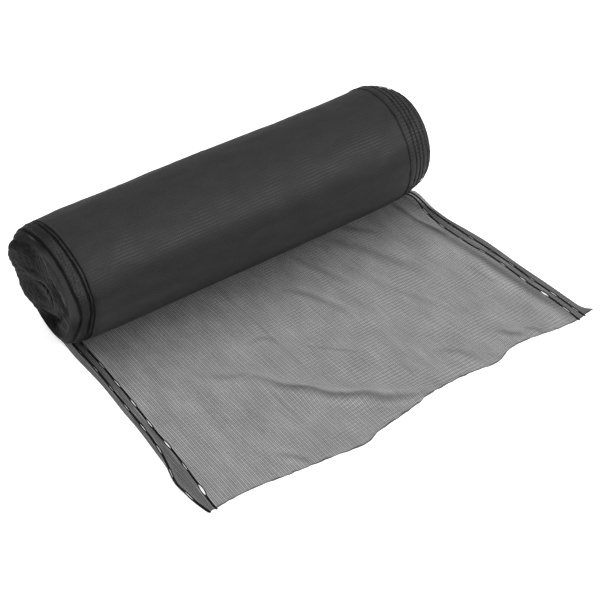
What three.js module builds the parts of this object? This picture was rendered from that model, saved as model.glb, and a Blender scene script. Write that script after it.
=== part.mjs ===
// A roll of black knitted barrier netting with its loose end laid out on the ground in front of it.
// Millimetres. +X runs along the roll, -Y towards the loose end's free edge and +Z is up.
// The origin is the middle of the flat spot on which the roll rests.

import * as THREE from 'three';
import { mergeVertices } from 'three/addons/utils/BufferGeometryUtils.js';

// Driving sizes of the roll
const rollRadius = 150;
const rollSink = 3;
const rollAxisHeight = rollRadius - rollSink;
const roundSteps = 52;
const flatSteps = 4;
const samePoint = 1e-4;

// Driving sizes of the loose end
const netThickness = 1.5;
const bandThickness = 2;
const sheetStart = 38;
const freeEdgeRun = 690;
const joinGap = 0.35;
const bandHalfWidth = 2.3;
const strandWidth = 2.4;
const slitHalfWidth = 2.7;
const slitLength = 26;
const slitFlat = 9;
const bandStub = 5;
const sheetColumns = 24;
const sheetRows = 20;
const sheetColumnFirst = -444;
const sheetColumnLast = 438;
const edgeStep = 30;
const leftMarginEnd = 536;
const rightMarginEnd = 695;

// The turns that show on the roll, from its left end to its right end: how far along the roll, the radius,
// the height of the turn's middle, how far a knitted-in band stands proud there, and how far the ring bows
// towards the roll's middle where it faces the loose end
const rollTurns = [
  { x: -513, radius: 122, axis: 148, rib: 0, bow: 12.4 },
  { x: -511, radius: 130, axis: 148, rib: 0, bow: 12.4 },
  { x: -506.5, radius: 136.7, axis: 147, rib: 0, bow: 12.4 },
  { x: -502, radius: 139.7, axis: 147, rib: 0, bow: 12.4 },
  { x: -498, radius: 141.2, axis: 146.5, rib: 1.6, bow: 12.4 },
  { x: -494, radius: 142, axis: 146, rib: 0, bow: 12.4 },
  { x: -474, radius: 144.6, axis: 146, rib: 0, bow: 12.8 },
  { x: -470, radius: 145.1, axis: 146, rib: 1.6, bow: 12.8 },
  { x: -466, radius: 145.8, axis: 146, rib: 0, bow: 12.8 },
  { x: -444, radius: 148, axis: 146, rib: 0, bow: 7 },
  { x: -390, radius: 150, axis: 147, rib: 0, bow: 0 },
  { x: -280, radius: 150, axis: 147, rib: 0, bow: 0 },
  { x: -160, radius: 150, axis: 147, rib: 0, bow: 0 },
  { x: -40, radius: 150, axis: 147, rib: 0, bow: 0 },
  { x: 80, radius: 150, axis: 147, rib: 0, bow: 0 },
  { x: 200, radius: 150, axis: 147, rib: 0, bow: 0 },
  { x: 310, radius: 150, axis: 147, rib: 0, bow: 0 },
  { x: 380, radius: 150, axis: 148, rib: 0, bow: 0 },
  { x: 416, radius: 149.8, axis: 151, rib: 0, bow: 0 },
  { x: 420, radius: 149.4, axis: 151.4, rib: 1.4, bow: 0 },
  { x: 424, radius: 149, axis: 151.8, rib: 0, bow: 0 },
  { x: 437, radius: 147.6, axis: 153, rib: 0, bow: 0 },
  { x: 441, radius: 147, axis: 153.4, rib: 1.4, bow: 0 },
  { x: 445, radius: 146, axis: 153.6, rib: 0, bow: 0 },
  { x: 456, radius: 142.6, axis: 153, rib: 1.4, bow: 0 },
  { x: 463, radius: 140.4, axis: 152.4, rib: -0.6, bow: 0 },
  { x: 471, radius: 138, axis: 151.6, rib: 1.4, bow: 0 },
  { x: 479, radius: 134.8, axis: 150.4, rib: -0.6, bow: 0 },
  { x: 488, radius: 131.2, axis: 149.4, rib: 1.4, bow: 0 },
  { x: 498, radius: 125.6, axis: 148, rib: 0, bow: 0 },
  { x: 507, radius: 117, axis: 148.4, rib: 0, bow: 0 },
  { x: 514, radius: 101, axis: 149, rib: 0, bow: 0 },
];
const ribFadeHeight = 45;
const bowAngle = 155;
const wavesRound = [
  { lobes: 2, height: 0.8, alongLength: 640 },
  { lobes: 3, height: 0.7, alongLength: 430 },
];

// The folded and pushed-out turns on the roll's left end: middle of each from the roll's middle, how far it
// stands out, its spread along its own length and across it, and the turn of its length from +Y in degrees
const leftEndRings = 14;
const leftEndForms = [
  { y: 94, z: 51, out: 32, long: 61, across: 56, turn: 43 },
  { y: 69, z: 94, out: 26, long: 33, across: 20, turn: 6 },
  { y: 91, z: -52, out: 20, long: 66, across: 40, turn: 72 },
  { y: 10, z: -25, out: 9, long: 80, across: 40, turn: -14 },
  { y: -92, z: 76, out: 6, long: 46, across: 13, turn: 42 },
  { y: -120, z: 22, out: 5, long: 46, across: 12, turn: 78 },
  { y: -12, z: 74, out: -12, long: 32, across: 20, turn: 60 },
  { y: -90, z: 20, out: -14, long: 42, across: 13, turn: 53 },
  { y: 0, z: -92, out: -15, long: 40, across: 13, turn: -25 },
  { y: -78, z: -70, out: 4, long: 32, across: 22, turn: 40 },
];
const leftEndFace = 504;
const leftEndRimShare = 0.11;
const spiralPitch = 34;
const spiralHeight = 3;
const spiralSquash = 1.25;
const spiralCentre = { y: 10, z: -25 };

// The plainer right end, which shows only its outermost turns
const rightEndRings = 6;
const rightEndFace = 516;
const rightEndDome = 4;
const rightEndWinding = 1.6;

// The long lines of the loose end: how far the net's edge and its two bands lie along X, at a distance called
// run in front of the roll's middle
const leftLines = [
  { run: 38, edge: -502, outer: -485, inner: -468 },
  { run: 90, edge: -502, outer: -485, inner: -468 },
  { run: 150, edge: -500, outer: -484, inner: -467 },
  { run: 210, edge: -498, outer: -485, inner: -468 },
  { run: 270, edge: -499, outer: -487, inner: -469 },
  { run: 330, edge: -501, outer: -489, inner: -471 },
  { run: 380, edge: -501, outer: -490, inner: -473 },
  { run: 430, edge: -503, outer: -492, inner: -475 },
  { run: 480, edge: -506, outer: -496, inner: -475 },
  { run: 530, edge: -513, outer: -505, inner: -477 },
  { run: 580, edge: -525, outer: -516, inner: -481 },
  { run: 630, edge: -522, outer: -513, inner: -484 },
  { run: 675, edge: -514, outer: -505, inner: -487 },
  { run: 700, edge: -506, outer: -499, inner: -486 },
];
const rightLines = [
  { run: 38, inner: 474, outer: 483, edge: 492 },
  { run: 90, inner: 472, outer: 482, edge: 493 },
  { run: 150, inner: 466, outer: 482, edge: 493 },
  { run: 210, inner: 460, outer: 480, edge: 492 },
  { run: 270, inner: 459, outer: 481, edge: 497 },
  { run: 330, inner: 461, outer: 483, edge: 501 },
  { run: 380, inner: 467, outer: 484, edge: 501 },
  { run: 430, inner: 468, outer: 484, edge: 499 },
  { run: 480, inner: 466, outer: 483, edge: 498 },
  { run: 530, inner: 464, outer: 481, edge: 498 },
  { run: 580, inner: 465, outer: 481, edge: 498 },
  { run: 630, inner: 464, outer: 481, edge: 497 },
  { run: 675, inner: 462, outer: 479, edge: 499 },
  { run: 700, inner: 460, outer: 480, edge: 518 },
];

// The free edge: how far it lies in front of the roll's middle at each place across the net
const freeEdge = [
  { x: -505, run: 688 },
  { x: -412, run: 687 },
  { x: -325, run: 700 },
  { x: -236, run: 712 },
  { x: -146, run: 725 },
  { x: -110, run: 712 },
  { x: -53, run: 705 },
  { x: 6, run: 697 },
  { x: 95, run: 687 },
  { x: 149, run: 689 },
  { x: 225, run: 699 },
  { x: 266, run: 685 },
  { x: 299, run: 681 },
  { x: 349, run: 690 },
  { x: 459, run: 702 },
  { x: 496, run: 696 },
  { x: 520, run: 695 },
];

// The soft folds of the loose end: a ridge from one place to another, its height and its spread to each side
const folds = [
  { x0: -238, run0: 400, x1: -160, run1: 530, height: 7, spread: 30 },
  { x0: -160, run0: 530, x1: -66, run1: 612, height: 9, spread: 30 },
  { x0: -66, run0: 612, x1: 44, run1: 676, height: 8, spread: 28 },
  { x0: -128, run0: 240, x1: -140, run1: 470, height: 4, spread: 28 },
  { x0: -30, run0: 175, x1: 62, run1: 350, height: 5, spread: 30 },
  { x0: 404, run0: 120, x1: 414, run1: 400, height: 7, spread: 26 },
  { x0: 414, run0: 400, x1: 428, run1: 640, height: 6, spread: 24 },
  { x0: 205, run0: 120, x1: 236, run1: 300, height: 5, spread: 30 },
  { x0: 300, run0: 628, x1: 352, run1: 672, height: 6, spread: 26 },
  { x0: -270, run0: 560, x1: -226, run1: 640, height: 4, spread: 26 },
  { x0: 500, run0: 84, x1: 470, run1: 96, height: 13, spread: 36 },
  { x0: -500, run0: 575, x1: -500, run1: 610, height: 5, spread: 30 },
  { x0: -390, run0: 150, x1: -350, run1: 330, height: 4, spread: 34 },
];
const foldRise = 34;

// The eyelets along each band: how far the first lies in front of the roll's middle, their pitch and number
const bands = [
  { name: 'band_left_outer', lines: leftLines, line: 'outer', first: 84, pitch: 78, eyelets: 8 },
  { name: 'band_left_inner', lines: leftLines, line: 'inner', first: 78, pitch: 79, eyelets: 8 },
  { name: 'band_right_inner', lines: rightLines, line: 'inner', first: 145.4, pitch: 73.4, eyelets: 8 },
  { name: 'band_right_outer', lines: rightLines, line: 'outer', first: 159.2, pitch: 73.2, eyelets: 8 },
];

// The finishes
const netFinish = { color: 0x3b3b3b, roughness: 0.72, metalness: 0 };
const bandFinish = { color: 0x141414, roughness: 0.6, metalness: 0 };

// A value read from a table with rising keys, on a smooth curve through its rows.
function readTable(table, key, column, at) {
  const last = table.length - 1;
  let row = 0;
  while (row < last - 1 && table[row + 1][key] < at) row += 1;
  const from = table[row];
  const to = table[row + 1];
  const before = table[Math.max(row - 1, 0)];
  const after = table[Math.min(row + 2, last)];
  const width = to[key] - from[key];
  const t = THREE.MathUtils.clamp((at - from[key]) / width, 0, 1);
  const slopeFrom = ((to[column] - before[column]) / (to[key] - before[key])) * width;
  const slopeTo = ((after[column] - from[column]) / (after[key] - from[key])) * width;
  const rise = to[column] - from[column];
  const curve = t * (1 - t) * ((1 - t) * (slopeFrom - rise) - t * (slopeTo - rise));
  return from[column] + t * rise + curve;
}

// How high the netting's underside lies at a place on the loose end.
function foldHeight(x, run) {
  let height = 0;
  for (const fold of folds) {
    const alongX = fold.x1 - fold.x0;
    const alongRun = fold.run1 - fold.run0;
    const share = ((x - fold.x0) * alongX + (run - fold.run0) * alongRun) / (alongX ** 2 + alongRun ** 2);
    const held = THREE.MathUtils.clamp(share, 0, 1);
    const away = Math.hypot(x - fold.x0 - held * alongX, run - fold.run0 - held * alongRun);
    height += fold.height * Math.exp(-((away / fold.spread) ** 2));
  }
  return height * THREE.MathUtils.smoothstep(run, sheetStart, sheetStart + foldRise);
}

// A body from triangles given as triples of points, each point three numbers, with shared points made one.
function bodyFromTriangles(points, triangles) {
  const positions = new Float32Array(triangles.flat().flatMap((index) => points[index]));
  const geometry = new THREE.BufferGeometry();
  geometry.setAttribute('position', new THREE.BufferAttribute(positions, 3));
  const body = mergeVertices(geometry, samePoint);
  body.computeVertexNormals();
  return body;
}

// A plan of the loose end: points on the ground and the triangles between long rails of them.
class Plan {
  constructor() {
    this.points = [];
    this.triangles = [];
    this.known = new Map();
  }

  // The number of the point at this place, added when it is new.
  point(x, run) {
    const key = `${x.toFixed(3)},${run.toFixed(3)}`;
    if (!this.known.has(key)) {
      this.known.set(key, this.points.length);
      this.points.push({ x, run });
    }
    return this.known.get(key);
  }

  // A rail of points from places that run away from the roll.
  rail(places) {
    return places.map((place) => this.point(place.x, place.run));
  }

  // Triangles between a rail and the next rail to its right.
  fill(left, right) {
    let a = 0;
    let b = 0;
    while (a < left.length - 1 || b < right.length - 1) {
      const nextLeft = a < left.length - 1 ? this.points[left[a + 1]].run : Infinity;
      const nextRight = b < right.length - 1 ? this.points[right[b + 1]].run : Infinity;
      if (nextLeft <= nextRight) {
        this.addTriangle(left[a], left[a + 1], right[b]);
        a += 1;
      } else {
        this.addTriangle(left[a], right[b + 1], right[b]);
        b += 1;
      }
    }
  }

  // One triangle, left out where two of its corners are the same point.
  addTriangle(a, b, c) {
    if (a !== b && b !== c && c !== a) this.triangles.push([a, b, c]);
  }

  // The thin body over this plan, with its underside on the folds and a wall along every free edge.
  drape(thickness) {
    const count = this.points.length;
    const under = this.points.map(({ x, run }) => [x, -run, foldHeight(x, run)]);
    const over = under.map(([x, y, z]) => [x, y, z + thickness]);
    const sides = new Set(this.triangles.flatMap(([a, b, c]) => [`${a}>${b}`, `${b}>${c}`, `${c}>${a}`]));
    const faces = [];
    for (const [a, b, c] of this.triangles) {
      faces.push([a + count, b + count, c + count], [a, c, b]);
      for (const [from, to] of [[a, b], [b, c], [c, a]]) {
        if (sides.has(`${to}>${from}`)) continue;
        faces.push([from, to, to + count], [from, to + count, from + count]);
      }
    }
    return bodyFromTriangles([...under, ...over], faces);
  }
}

// How far along X a band's middle line lies at a distance in front of the roll.
function bandMiddle(band, run) {
  return readTable(band.lines, 'run', band.line, run);
}

// The places along a band where its outline changes, and how far its eyelet is open at each.
function bandStations(band) {
  const end = readTable(freeEdge, 'x', 'run', bandMiddle(band, freeEdgeRun)) + bandStub;
  const stations = [{ run: sheetStart, open: 0 }];
  for (let i = 0; i < band.eyelets; i += 1) {
    const middle = band.first + i * band.pitch;
    stations.push({ run: middle - slitLength / 2, open: 0 });
    stations.push({ run: middle - slitFlat / 2, open: 1 });
    stations.push({ run: middle + slitFlat / 2, open: 1 });
    stations.push({ run: middle + slitLength / 2, open: 0 });
    if (middle + band.pitch < end) stations.push({ run: middle + band.pitch / 2, open: 0 });
  }
  stations.push({ run: end, open: 0 });
  return stations;
}

// Half the band's full width at a station.
function bandReach(station) {
  return bandHalfWidth + station.open * (slitHalfWidth + strandWidth - bandHalfWidth);
}

// One black band: a strand to each side of its middle line, which part around every eyelet.
function bandGeometry(band) {
  const plan = new Plan();
  const stations = bandStations(band);
  const railAt = (offset) => plan.rail(stations.map((station) => (
    { x: bandMiddle(band, station.run) + offset(station), run: station.run }
  )));
  plan.fill(railAt((station) => -bandReach(station)), railAt((station) => -station.open * slitHalfWidth));
  plan.fill(railAt((station) => station.open * slitHalfWidth), railAt(bandReach));
  return plan.drape(bandThickness);
}

// The line that netting follows a join's gap away from a band, on its left (-1) or right (+1) side.
function besideBand(band, side) {
  const places = bandStations(band).map((station) => (
    { x: bandMiddle(band, station.run) + side * (bandReach(station) + joinGap), run: station.run }
  ));
  places[places.length - 1].run -= bandStub;
  return places;
}

// The net's own long edge on one side, from the roll to a distance in front of it.
function edgeLine(lines, lastRun) {
  const steps = Math.ceil((lastRun - sheetStart) / edgeStep);
  return Array.from({ length: steps + 1 }, (_, i) => {
    const run = THREE.MathUtils.lerp(sheetStart, lastRun, i / steps);
    return { x: readTable(lines, 'run', 'edge', run), run };
  });
}

// The part of a line of places that lies no further out than a distance, with a last place there.
function cutAt(places, lastRun) {
  const kept = places.filter((place) => place.run < lastRun);
  const from = kept[kept.length - 1];
  const to = places[kept.length] ?? from;
  const share = to.run > from.run ? (lastRun - from.run) / (to.run - from.run) : 0;
  return [...kept, { x: THREE.MathUtils.lerp(from.x, to.x, share), run: lastRun }];
}

// A narrow piece of netting between two long lines.
function stripGeometry(leftPlaces, rightPlaces) {
  const plan = new Plan();
  plan.fill(plan.rail(leftPlaces), plan.rail(rightPlaces));
  return plan.drape(netThickness);
}

// The wide middle of the loose end, on a grid that is finer where it meets the bands.
function sheetGeometry(leftBand, rightBand) {
  const plan = new Plan();
  const rails = [plan.rail(besideBand(leftBand, 1))];
  for (let column = 0; column < sheetColumns; column += 1) {
    const x = THREE.MathUtils.lerp(sheetColumnFirst, sheetColumnLast, column / (sheetColumns - 1));
    const end = readTable(freeEdge, 'x', 'run', x);
    const places = Array.from({ length: sheetRows + 1 }, (_, row) => (
      { x, run: THREE.MathUtils.lerp(sheetStart, end, row / sheetRows) }
    ));
    rails.push(plan.rail(places));
  }
  rails.push(plan.rail(besideBand(rightBand, -1)));
  for (let i = 1; i < rails.length; i += 1) plan.fill(rails[i - 1], rails[i]);
  return plan.drape(netThickness);
}

// The angles round the roll: even steps over the round, and a few across the flat spot.
function rollAngles() {
  const flatHalf = Math.acos(rollAxisHeight / rollRadius);
  const start = -Math.PI / 2 + flatHalf;
  const round = 2 * (Math.PI - flatHalf);
  const angles = Array.from({ length: roundSteps }, (_, i) => start + (round * i) / roundSteps);
  for (let i = 0; i < flatSteps; i += 1) angles.push(start + round + (2 * flatHalf * i) / flatSteps);
  return angles;
}

// A point on the roll's side, pressed flat where it would reach below the ground.
function turnPoint(turn, angle) {
  const up = turn.axis + turn.radius * Math.sin(angle);
  const free = THREE.MathUtils.smoothstep(up, 0, ribFadeHeight);
  let radius = turn.radius + turn.rib * free;
  for (const wave of wavesRound) {
    const phase = (2 * Math.PI * turn.x) / wave.alongLength;
    radius += wave.height * free * Math.sin(wave.lobes * angle + phase);
  }
  const facing = Math.max(0, Math.cos(angle - THREE.MathUtils.degToRad(bowAngle)));
  const x = turn.x + turn.bow * facing ** 1.5;
  return [x, radius * Math.cos(angle), Math.max(0, turn.axis + radius * Math.sin(angle))];
}

// How far the left end's wound and folded turns stand out at a place on it, measured from the roll's middle.
function leftEndRelief(y, z) {
  let out = 0;
  for (const form of leftEndForms) {
    const turn = THREE.MathUtils.degToRad(form.turn);
    const along = (y - form.y) * Math.cos(turn) + (z - form.z) * Math.sin(turn);
    const across = (z - form.z) * Math.cos(turn) - (y - form.y) * Math.sin(turn);
    out += form.out * Math.exp(-((along / form.long) ** 2) - (across / form.across) ** 2);
  }
  return out + windingRelief(y - spiralCentre.y, (z - spiralCentre.z) * spiralSquash);
}

// The rise and fall of one turn after another around the winding's middle.
function windingRelief(y, z) {
  const turns = Math.hypot(y, z) / spiralPitch - Math.atan2(z, y) / (2 * Math.PI);
  return spiralHeight * Math.cos(2 * Math.PI * turns);
}

// The rings of an end face from its rim inwards.
function endRings(rim, rings, placeX) {
  const faces = [];
  for (let ring = 1; ring < rings; ring += 1) {
    const share = 1 - ring / rings;
    faces.push(rim.map(([, y, z]) => {
      const inY = y * share;
      const inZ = (z - rollAxisHeight) * share;
      return [placeX(inY, inZ, share), inY, rollAxisHeight + inZ];
    }));
  }
  return faces;
}

// The wound roll: rings of points over the left end, along the turns and over the right end.
function rollGeometry() {
  const angles = rollAngles();
  const side = rollTurns.map((turn) => angles.map((angle) => turnPoint(turn, angle)));
  const leftX = (y, z, share) => {
    const inside = THREE.MathUtils.smoothstep(1 - share, 0, leftEndRimShare);
    return THREE.MathUtils.lerp(rollTurns[0].x, -leftEndFace - leftEndRelief(y, z), inside);
  };
  const rightX = (y, z, share) => {
    const dome = rightEndDome * (1 - share ** 2);
    return rightEndFace + dome + windingRelief(y, z) * (1 - share) * share * rightEndWinding;
  };
  const left = endRings(side[0], leftEndRings, leftX);
  const right = endRings(side[side.length - 1], rightEndRings, rightX);
  const rings = [...left.reverse(), ...side, ...right];
  const points = rings.flat();
  const count = angles.length;
  const faces = [];
  for (let ring = 0; ring < rings.length - 1; ring += 1) {
    for (let i = 0; i < count; i += 1) {
      const next = (i + 1) % count;
      const a = ring * count + i;
      const b = ring * count + next;
      const c = a + count;
      const d = b + count;
      faces.push([a, b, c], [b, d, c]);
    }
  }
  const leftTip = points.length;
  points.push([leftX(0, 0, 0), 0, rollAxisHeight]);
  points.push([rightX(0, 0, 0), 0, rollAxisHeight]);
  const lastRing = (rings.length - 1) * count;
  for (let i = 0; i < count; i += 1) {
    const next = (i + 1) % count;
    faces.push([leftTip, next, i], [leftTip + 1, lastRing + i, lastRing + next]);
  }
  return bodyFromTriangles(points, faces);
}

// A named mesh with its own finish.
function addPiece(group, name, geometry, finish) {
  const mesh = new THREE.Mesh(geometry, new THREE.MeshStandardMaterial(finish));
  mesh.name = name;
  group.add(mesh);
}

const [leftOuter, leftInner, rightInner, rightOuter] = bands;
const roll = new THREE.Group();
addPiece(roll, 'net_roll', rollGeometry(), netFinish);

const looseEnd = new THREE.Group();
addPiece(looseEnd, 'net_sheet', sheetGeometry(leftInner, rightInner), netFinish);
addPiece(looseEnd, 'strip_left', stripGeometry(
  besideBand(leftOuter, 1),
  besideBand(leftInner, -1),
), netFinish);
addPiece(looseEnd, 'strip_right', stripGeometry(
  besideBand(rightInner, 1),
  besideBand(rightOuter, -1),
), netFinish);
addPiece(looseEnd, 'margin_left', stripGeometry(
  edgeLine(leftLines, leftMarginEnd),
  cutAt(besideBand(leftOuter, -1), leftMarginEnd),
), netFinish);
addPiece(looseEnd, 'margin_right', stripGeometry(
  besideBand(rightOuter, 1),
  edgeLine(rightLines, rightMarginEnd),
), netFinish);
for (const band of bands) addPiece(looseEnd, band.name, bandGeometry(band), bandFinish);

const netting = new THREE.Group();
netting.add(roll, looseEnd);
export default netting;
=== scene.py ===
"""A roll of black knitted barrier netting with its loose end laid out on the ground in front of it.

Metres. +X runs along the roll, -Y towards the loose end's free edge and +Z is up. The origin is the
middle of the flat spot on which the roll rests. A distance called run is measured along the ground in
front of the roll's middle, so y is -run.
"""

import logging
import math
from dataclasses import dataclass, field
from enum import Enum
from typing import NamedTuple, Sequence

import bpy
import numpy as np
from mathutils import Matrix, Vector


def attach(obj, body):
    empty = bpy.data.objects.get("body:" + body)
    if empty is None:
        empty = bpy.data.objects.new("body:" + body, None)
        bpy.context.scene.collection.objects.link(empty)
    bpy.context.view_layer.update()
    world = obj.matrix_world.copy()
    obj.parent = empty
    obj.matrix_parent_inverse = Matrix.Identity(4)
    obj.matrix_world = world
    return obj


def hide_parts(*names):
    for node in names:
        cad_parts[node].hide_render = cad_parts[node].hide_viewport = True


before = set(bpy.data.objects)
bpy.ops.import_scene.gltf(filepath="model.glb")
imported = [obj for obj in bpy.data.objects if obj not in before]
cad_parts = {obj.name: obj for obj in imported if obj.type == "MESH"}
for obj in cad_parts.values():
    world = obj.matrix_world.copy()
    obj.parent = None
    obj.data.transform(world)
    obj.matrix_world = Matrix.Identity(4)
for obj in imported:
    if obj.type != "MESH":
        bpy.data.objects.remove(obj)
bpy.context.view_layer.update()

log = logging.getLogger("netting")

BODY = "root"
TURN = 2 * math.pi


class Slot(Enum):
    """The material slots of the part."""

    NET = "net"
    BAND = "band"


class SideRow(NamedTuple):
    """Where a long edge of the loose end and its two bands lie along X, at one run."""

    run: float
    edge: float
    outer: float
    inner: float


class EdgeRow(NamedTuple):
    """How far out the free edge lies at one place across the net."""

    x: float
    run: float


class Fold(NamedTuple):
    """A soft ridge from one place to another, its height and its spread to each side."""

    x0: float
    run0: float
    x1: float
    run1: float
    height: float
    spread: float


class Crease(NamedTuple):
    """A crease along given points: half its width, how much it gathers the knit and its height."""

    points: tuple[tuple[float, float], ...]
    width: float
    # How much the crease closes the knit, partly real bunching and partly painted shade.
    gather_and_painted_shade: float
    height: float


class TurnRow(NamedTuple):
    """One ring of the wound roll: place, radius, middle's height and how far it bows inwards in front."""

    x: float
    radius: float
    axis: float
    bow: float


class EndForm(NamedTuple):
    """A soft swelling or hollow on an end of the roll, placed from the roll's middle."""

    y: float
    z: float
    out: float
    long: float
    across: float
    turn: float


class EndFold(NamedTuple):
    """A fold on an end of the roll: points, half its width, how far out it stands, and its painted light,
    which below 0 is painted shade.
    """

    points: tuple[tuple[float, float], ...]
    width: float
    out: float
    light: float


class RingRow(NamedTuple):
    """Where a band's ring lies along X at one angle round the roll, in degrees."""

    angle: float
    x: float


class LightRow(NamedTuple):
    """The painted light of the roll's side at one angle round it, in degrees; below 0 it is painted shade.
    """

    angle: float
    light: float


def soft_step(value: np.ndarray, low: float, high: float) -> np.ndarray:
    """Rises smoothly from 0 at low to 1 at high.

    Args:
        value: The values to read.
        low: Where the rise starts.
        high: Where it ends.

    Returns:
        The risen values, from 0 to 1.
    """
    t = np.clip((np.asarray(value, float) - low) / (high - low), 0, 1)
    return t * t * (3 - 2 * t)


def bell(away: np.ndarray, width: np.ndarray | float) -> np.ndarray:
    """A soft bell: 1 where away is 0, and small past the width."""
    return np.exp(-((away / width) ** 2))


class Stretch(NamedTuple):
    """A stretch that fades in between its first two values and out between its last two."""

    rise: float
    full: float
    fall: float
    end: float

    def share(self, value: np.ndarray) -> np.ndarray:
        """How far inside it values lie, from 0 to 1."""
        return soft_step(value, self.rise, self.full) * (1 - soft_step(value, self.fall, self.end))


def read_rows(rows: Sequence[NamedTuple], key: str, column: str, at: np.ndarray) -> np.ndarray:
    """Reads one column of a table on a smooth curve through its rows.

    Args:
        rows: The table, with rising keys.
        key: The column that holds the keys.
        column: The column to read.
        at: The keys to read it at.

    Returns:
        The values there.
    """
    keys = np.array([getattr(row, key) for row in rows])
    values = np.array([getattr(row, column) for row in rows])
    at = np.asarray(at, float)
    last = len(keys) - 1
    row = np.clip(np.searchsorted(keys, at) - 1, 0, last - 1)
    before = np.maximum(row - 1, 0)
    after = np.minimum(row + 2, last)
    width = keys[row + 1] - keys[row]
    t = np.clip((at - keys[row]) / width, 0, 1)
    slope_from = (values[row + 1] - values[before]) / (keys[row + 1] - keys[before]) * width
    slope_to = (values[after] - values[row]) / (keys[after] - keys[row]) * width
    rise = values[row + 1] - values[row]
    curve = t * (1 - t) * ((1 - t) * (slope_from - rise) - t * (slope_to - rise))
    return values[row] + t * rise + curve


def uneven(a: np.ndarray, b: np.ndarray, seed: int, waves: int = 7) -> np.ndarray:
    """A smooth, repeatable unevenness over two coordinates, about one wave per unit.

    Args:
        a: The first coordinate, in wavelengths.
        b: The second coordinate, in wavelengths.
        seed: Which unevenness it is.
        waves: How many waves it is made of.

    Returns:
        Values around 0, mostly between -1 and 1.
    """
    draw = np.random.default_rng(seed)
    total = np.zeros(np.broadcast(a, b).shape)
    for _ in range(waves):
        way = draw.uniform(0, TURN)
        size = draw.uniform(0.6, 1.5)
        start = draw.uniform(0, TURN)
        total = total + np.sin(TURN * size * (a * math.cos(way) + b * math.sin(way)) + start)
    return total / math.sqrt(waves)


class Grain(NamedTuple):
    """An unevenness of its own height, with a wavelength along each of its two coordinates."""

    height: float
    first: float
    second: float
    seed: int
    waves: int = 7

    def at(self, a: np.ndarray, b: np.ndarray | float = 0.0) -> np.ndarray:
        """Its height at places given in metres, above or below nothing."""
        return self.height * uneven(a / self.first, b / self.second, self.seed, self.waves)


def from_line(line: np.ndarray, x: np.ndarray, run: np.ndarray) -> tuple[np.ndarray, np.ndarray]:
    """How far places lie from a line of points, and how far along it.

    Args:
        line: The line's points.
        x: The places' first coordinate.
        run: Their second coordinate.

    Returns:
        The distance, and the share of the line's length.
    """
    lengths = np.linalg.norm(np.diff(line, axis=0), axis=1)
    starts = np.concatenate([[0], np.cumsum(lengths)])
    nearest = np.full(np.shape(x), 1e9)
    share = np.zeros(np.shape(x))
    for number, length in enumerate(lengths):
        step = (line[number + 1] - line[number]) / length
        along = np.clip((x - line[number, 0]) * step[0] + (run - line[number, 1]) * step[1], 0, length)
        away = np.hypot(x - line[number, 0] - along * step[0], run - line[number, 1] - along * step[1])
        closer = away < nearest
        nearest = np.where(closer, away, nearest)
        share = np.where(closer, (starts[number] + along) / starts[-1], share)
    return nearest, share


def grid_quads(index: np.ndarray) -> np.ndarray:
    """The quads between neighbours of a grid of point numbers.

    Args:
        index: Point numbers, in rows and columns.

    Returns:
        One line of four point numbers for each quad.
    """
    quads = np.stack([index[:-1, :-1], index[:-1, 1:], index[1:, 1:], index[1:, :-1]], -1)
    return quads.reshape(-1, 4)


def ring_index(rings: int, around: int, first: int = 0) -> np.ndarray:
    """Point numbers of closed rings, with the first column repeated at the end.

    Args:
        rings: How many rings there are.
        around: How many points each has.
        first: The number of the first point.

    Returns:
        A grid of point numbers, one row per ring.
    """
    index = first + np.arange(rings * around).reshape(rings, around)
    return np.concatenate([index, index[:, :1]], 1)


def unit(vectors: np.ndarray) -> np.ndarray:
    """The same directions at length 1."""
    return vectors / np.maximum(np.linalg.norm(vectors, axis=-1, keepdims=True), 1e-12)


def point_normals(points: np.ndarray, quads: np.ndarray) -> np.ndarray:
    """The surface's direction at each point, as the mean of the quads around it.

    Args:
        points: The points.
        quads: The quads between them.

    Returns:
        One unit vector per point.
    """
    across = np.cross(points[quads[:, 2]] - points[quads[:, 0]], points[quads[:, 3]] - points[quads[:, 1]])
    total = np.zeros_like(points)
    for corner in range(4):
        np.add.at(total, quads[:, corner], across)
    return unit(total)


def new_object(name: str, data: bpy.types.ID) -> bpy.types.Object:
    """Makes an object and adds it to the scene.

    Args:
        name: The object's name.
        data: Its mesh, lamp or camera.

    Returns:
        The object.
    """
    made = bpy.data.objects.new(name, data)
    bpy.context.scene.collection.objects.link(made)
    return made


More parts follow.
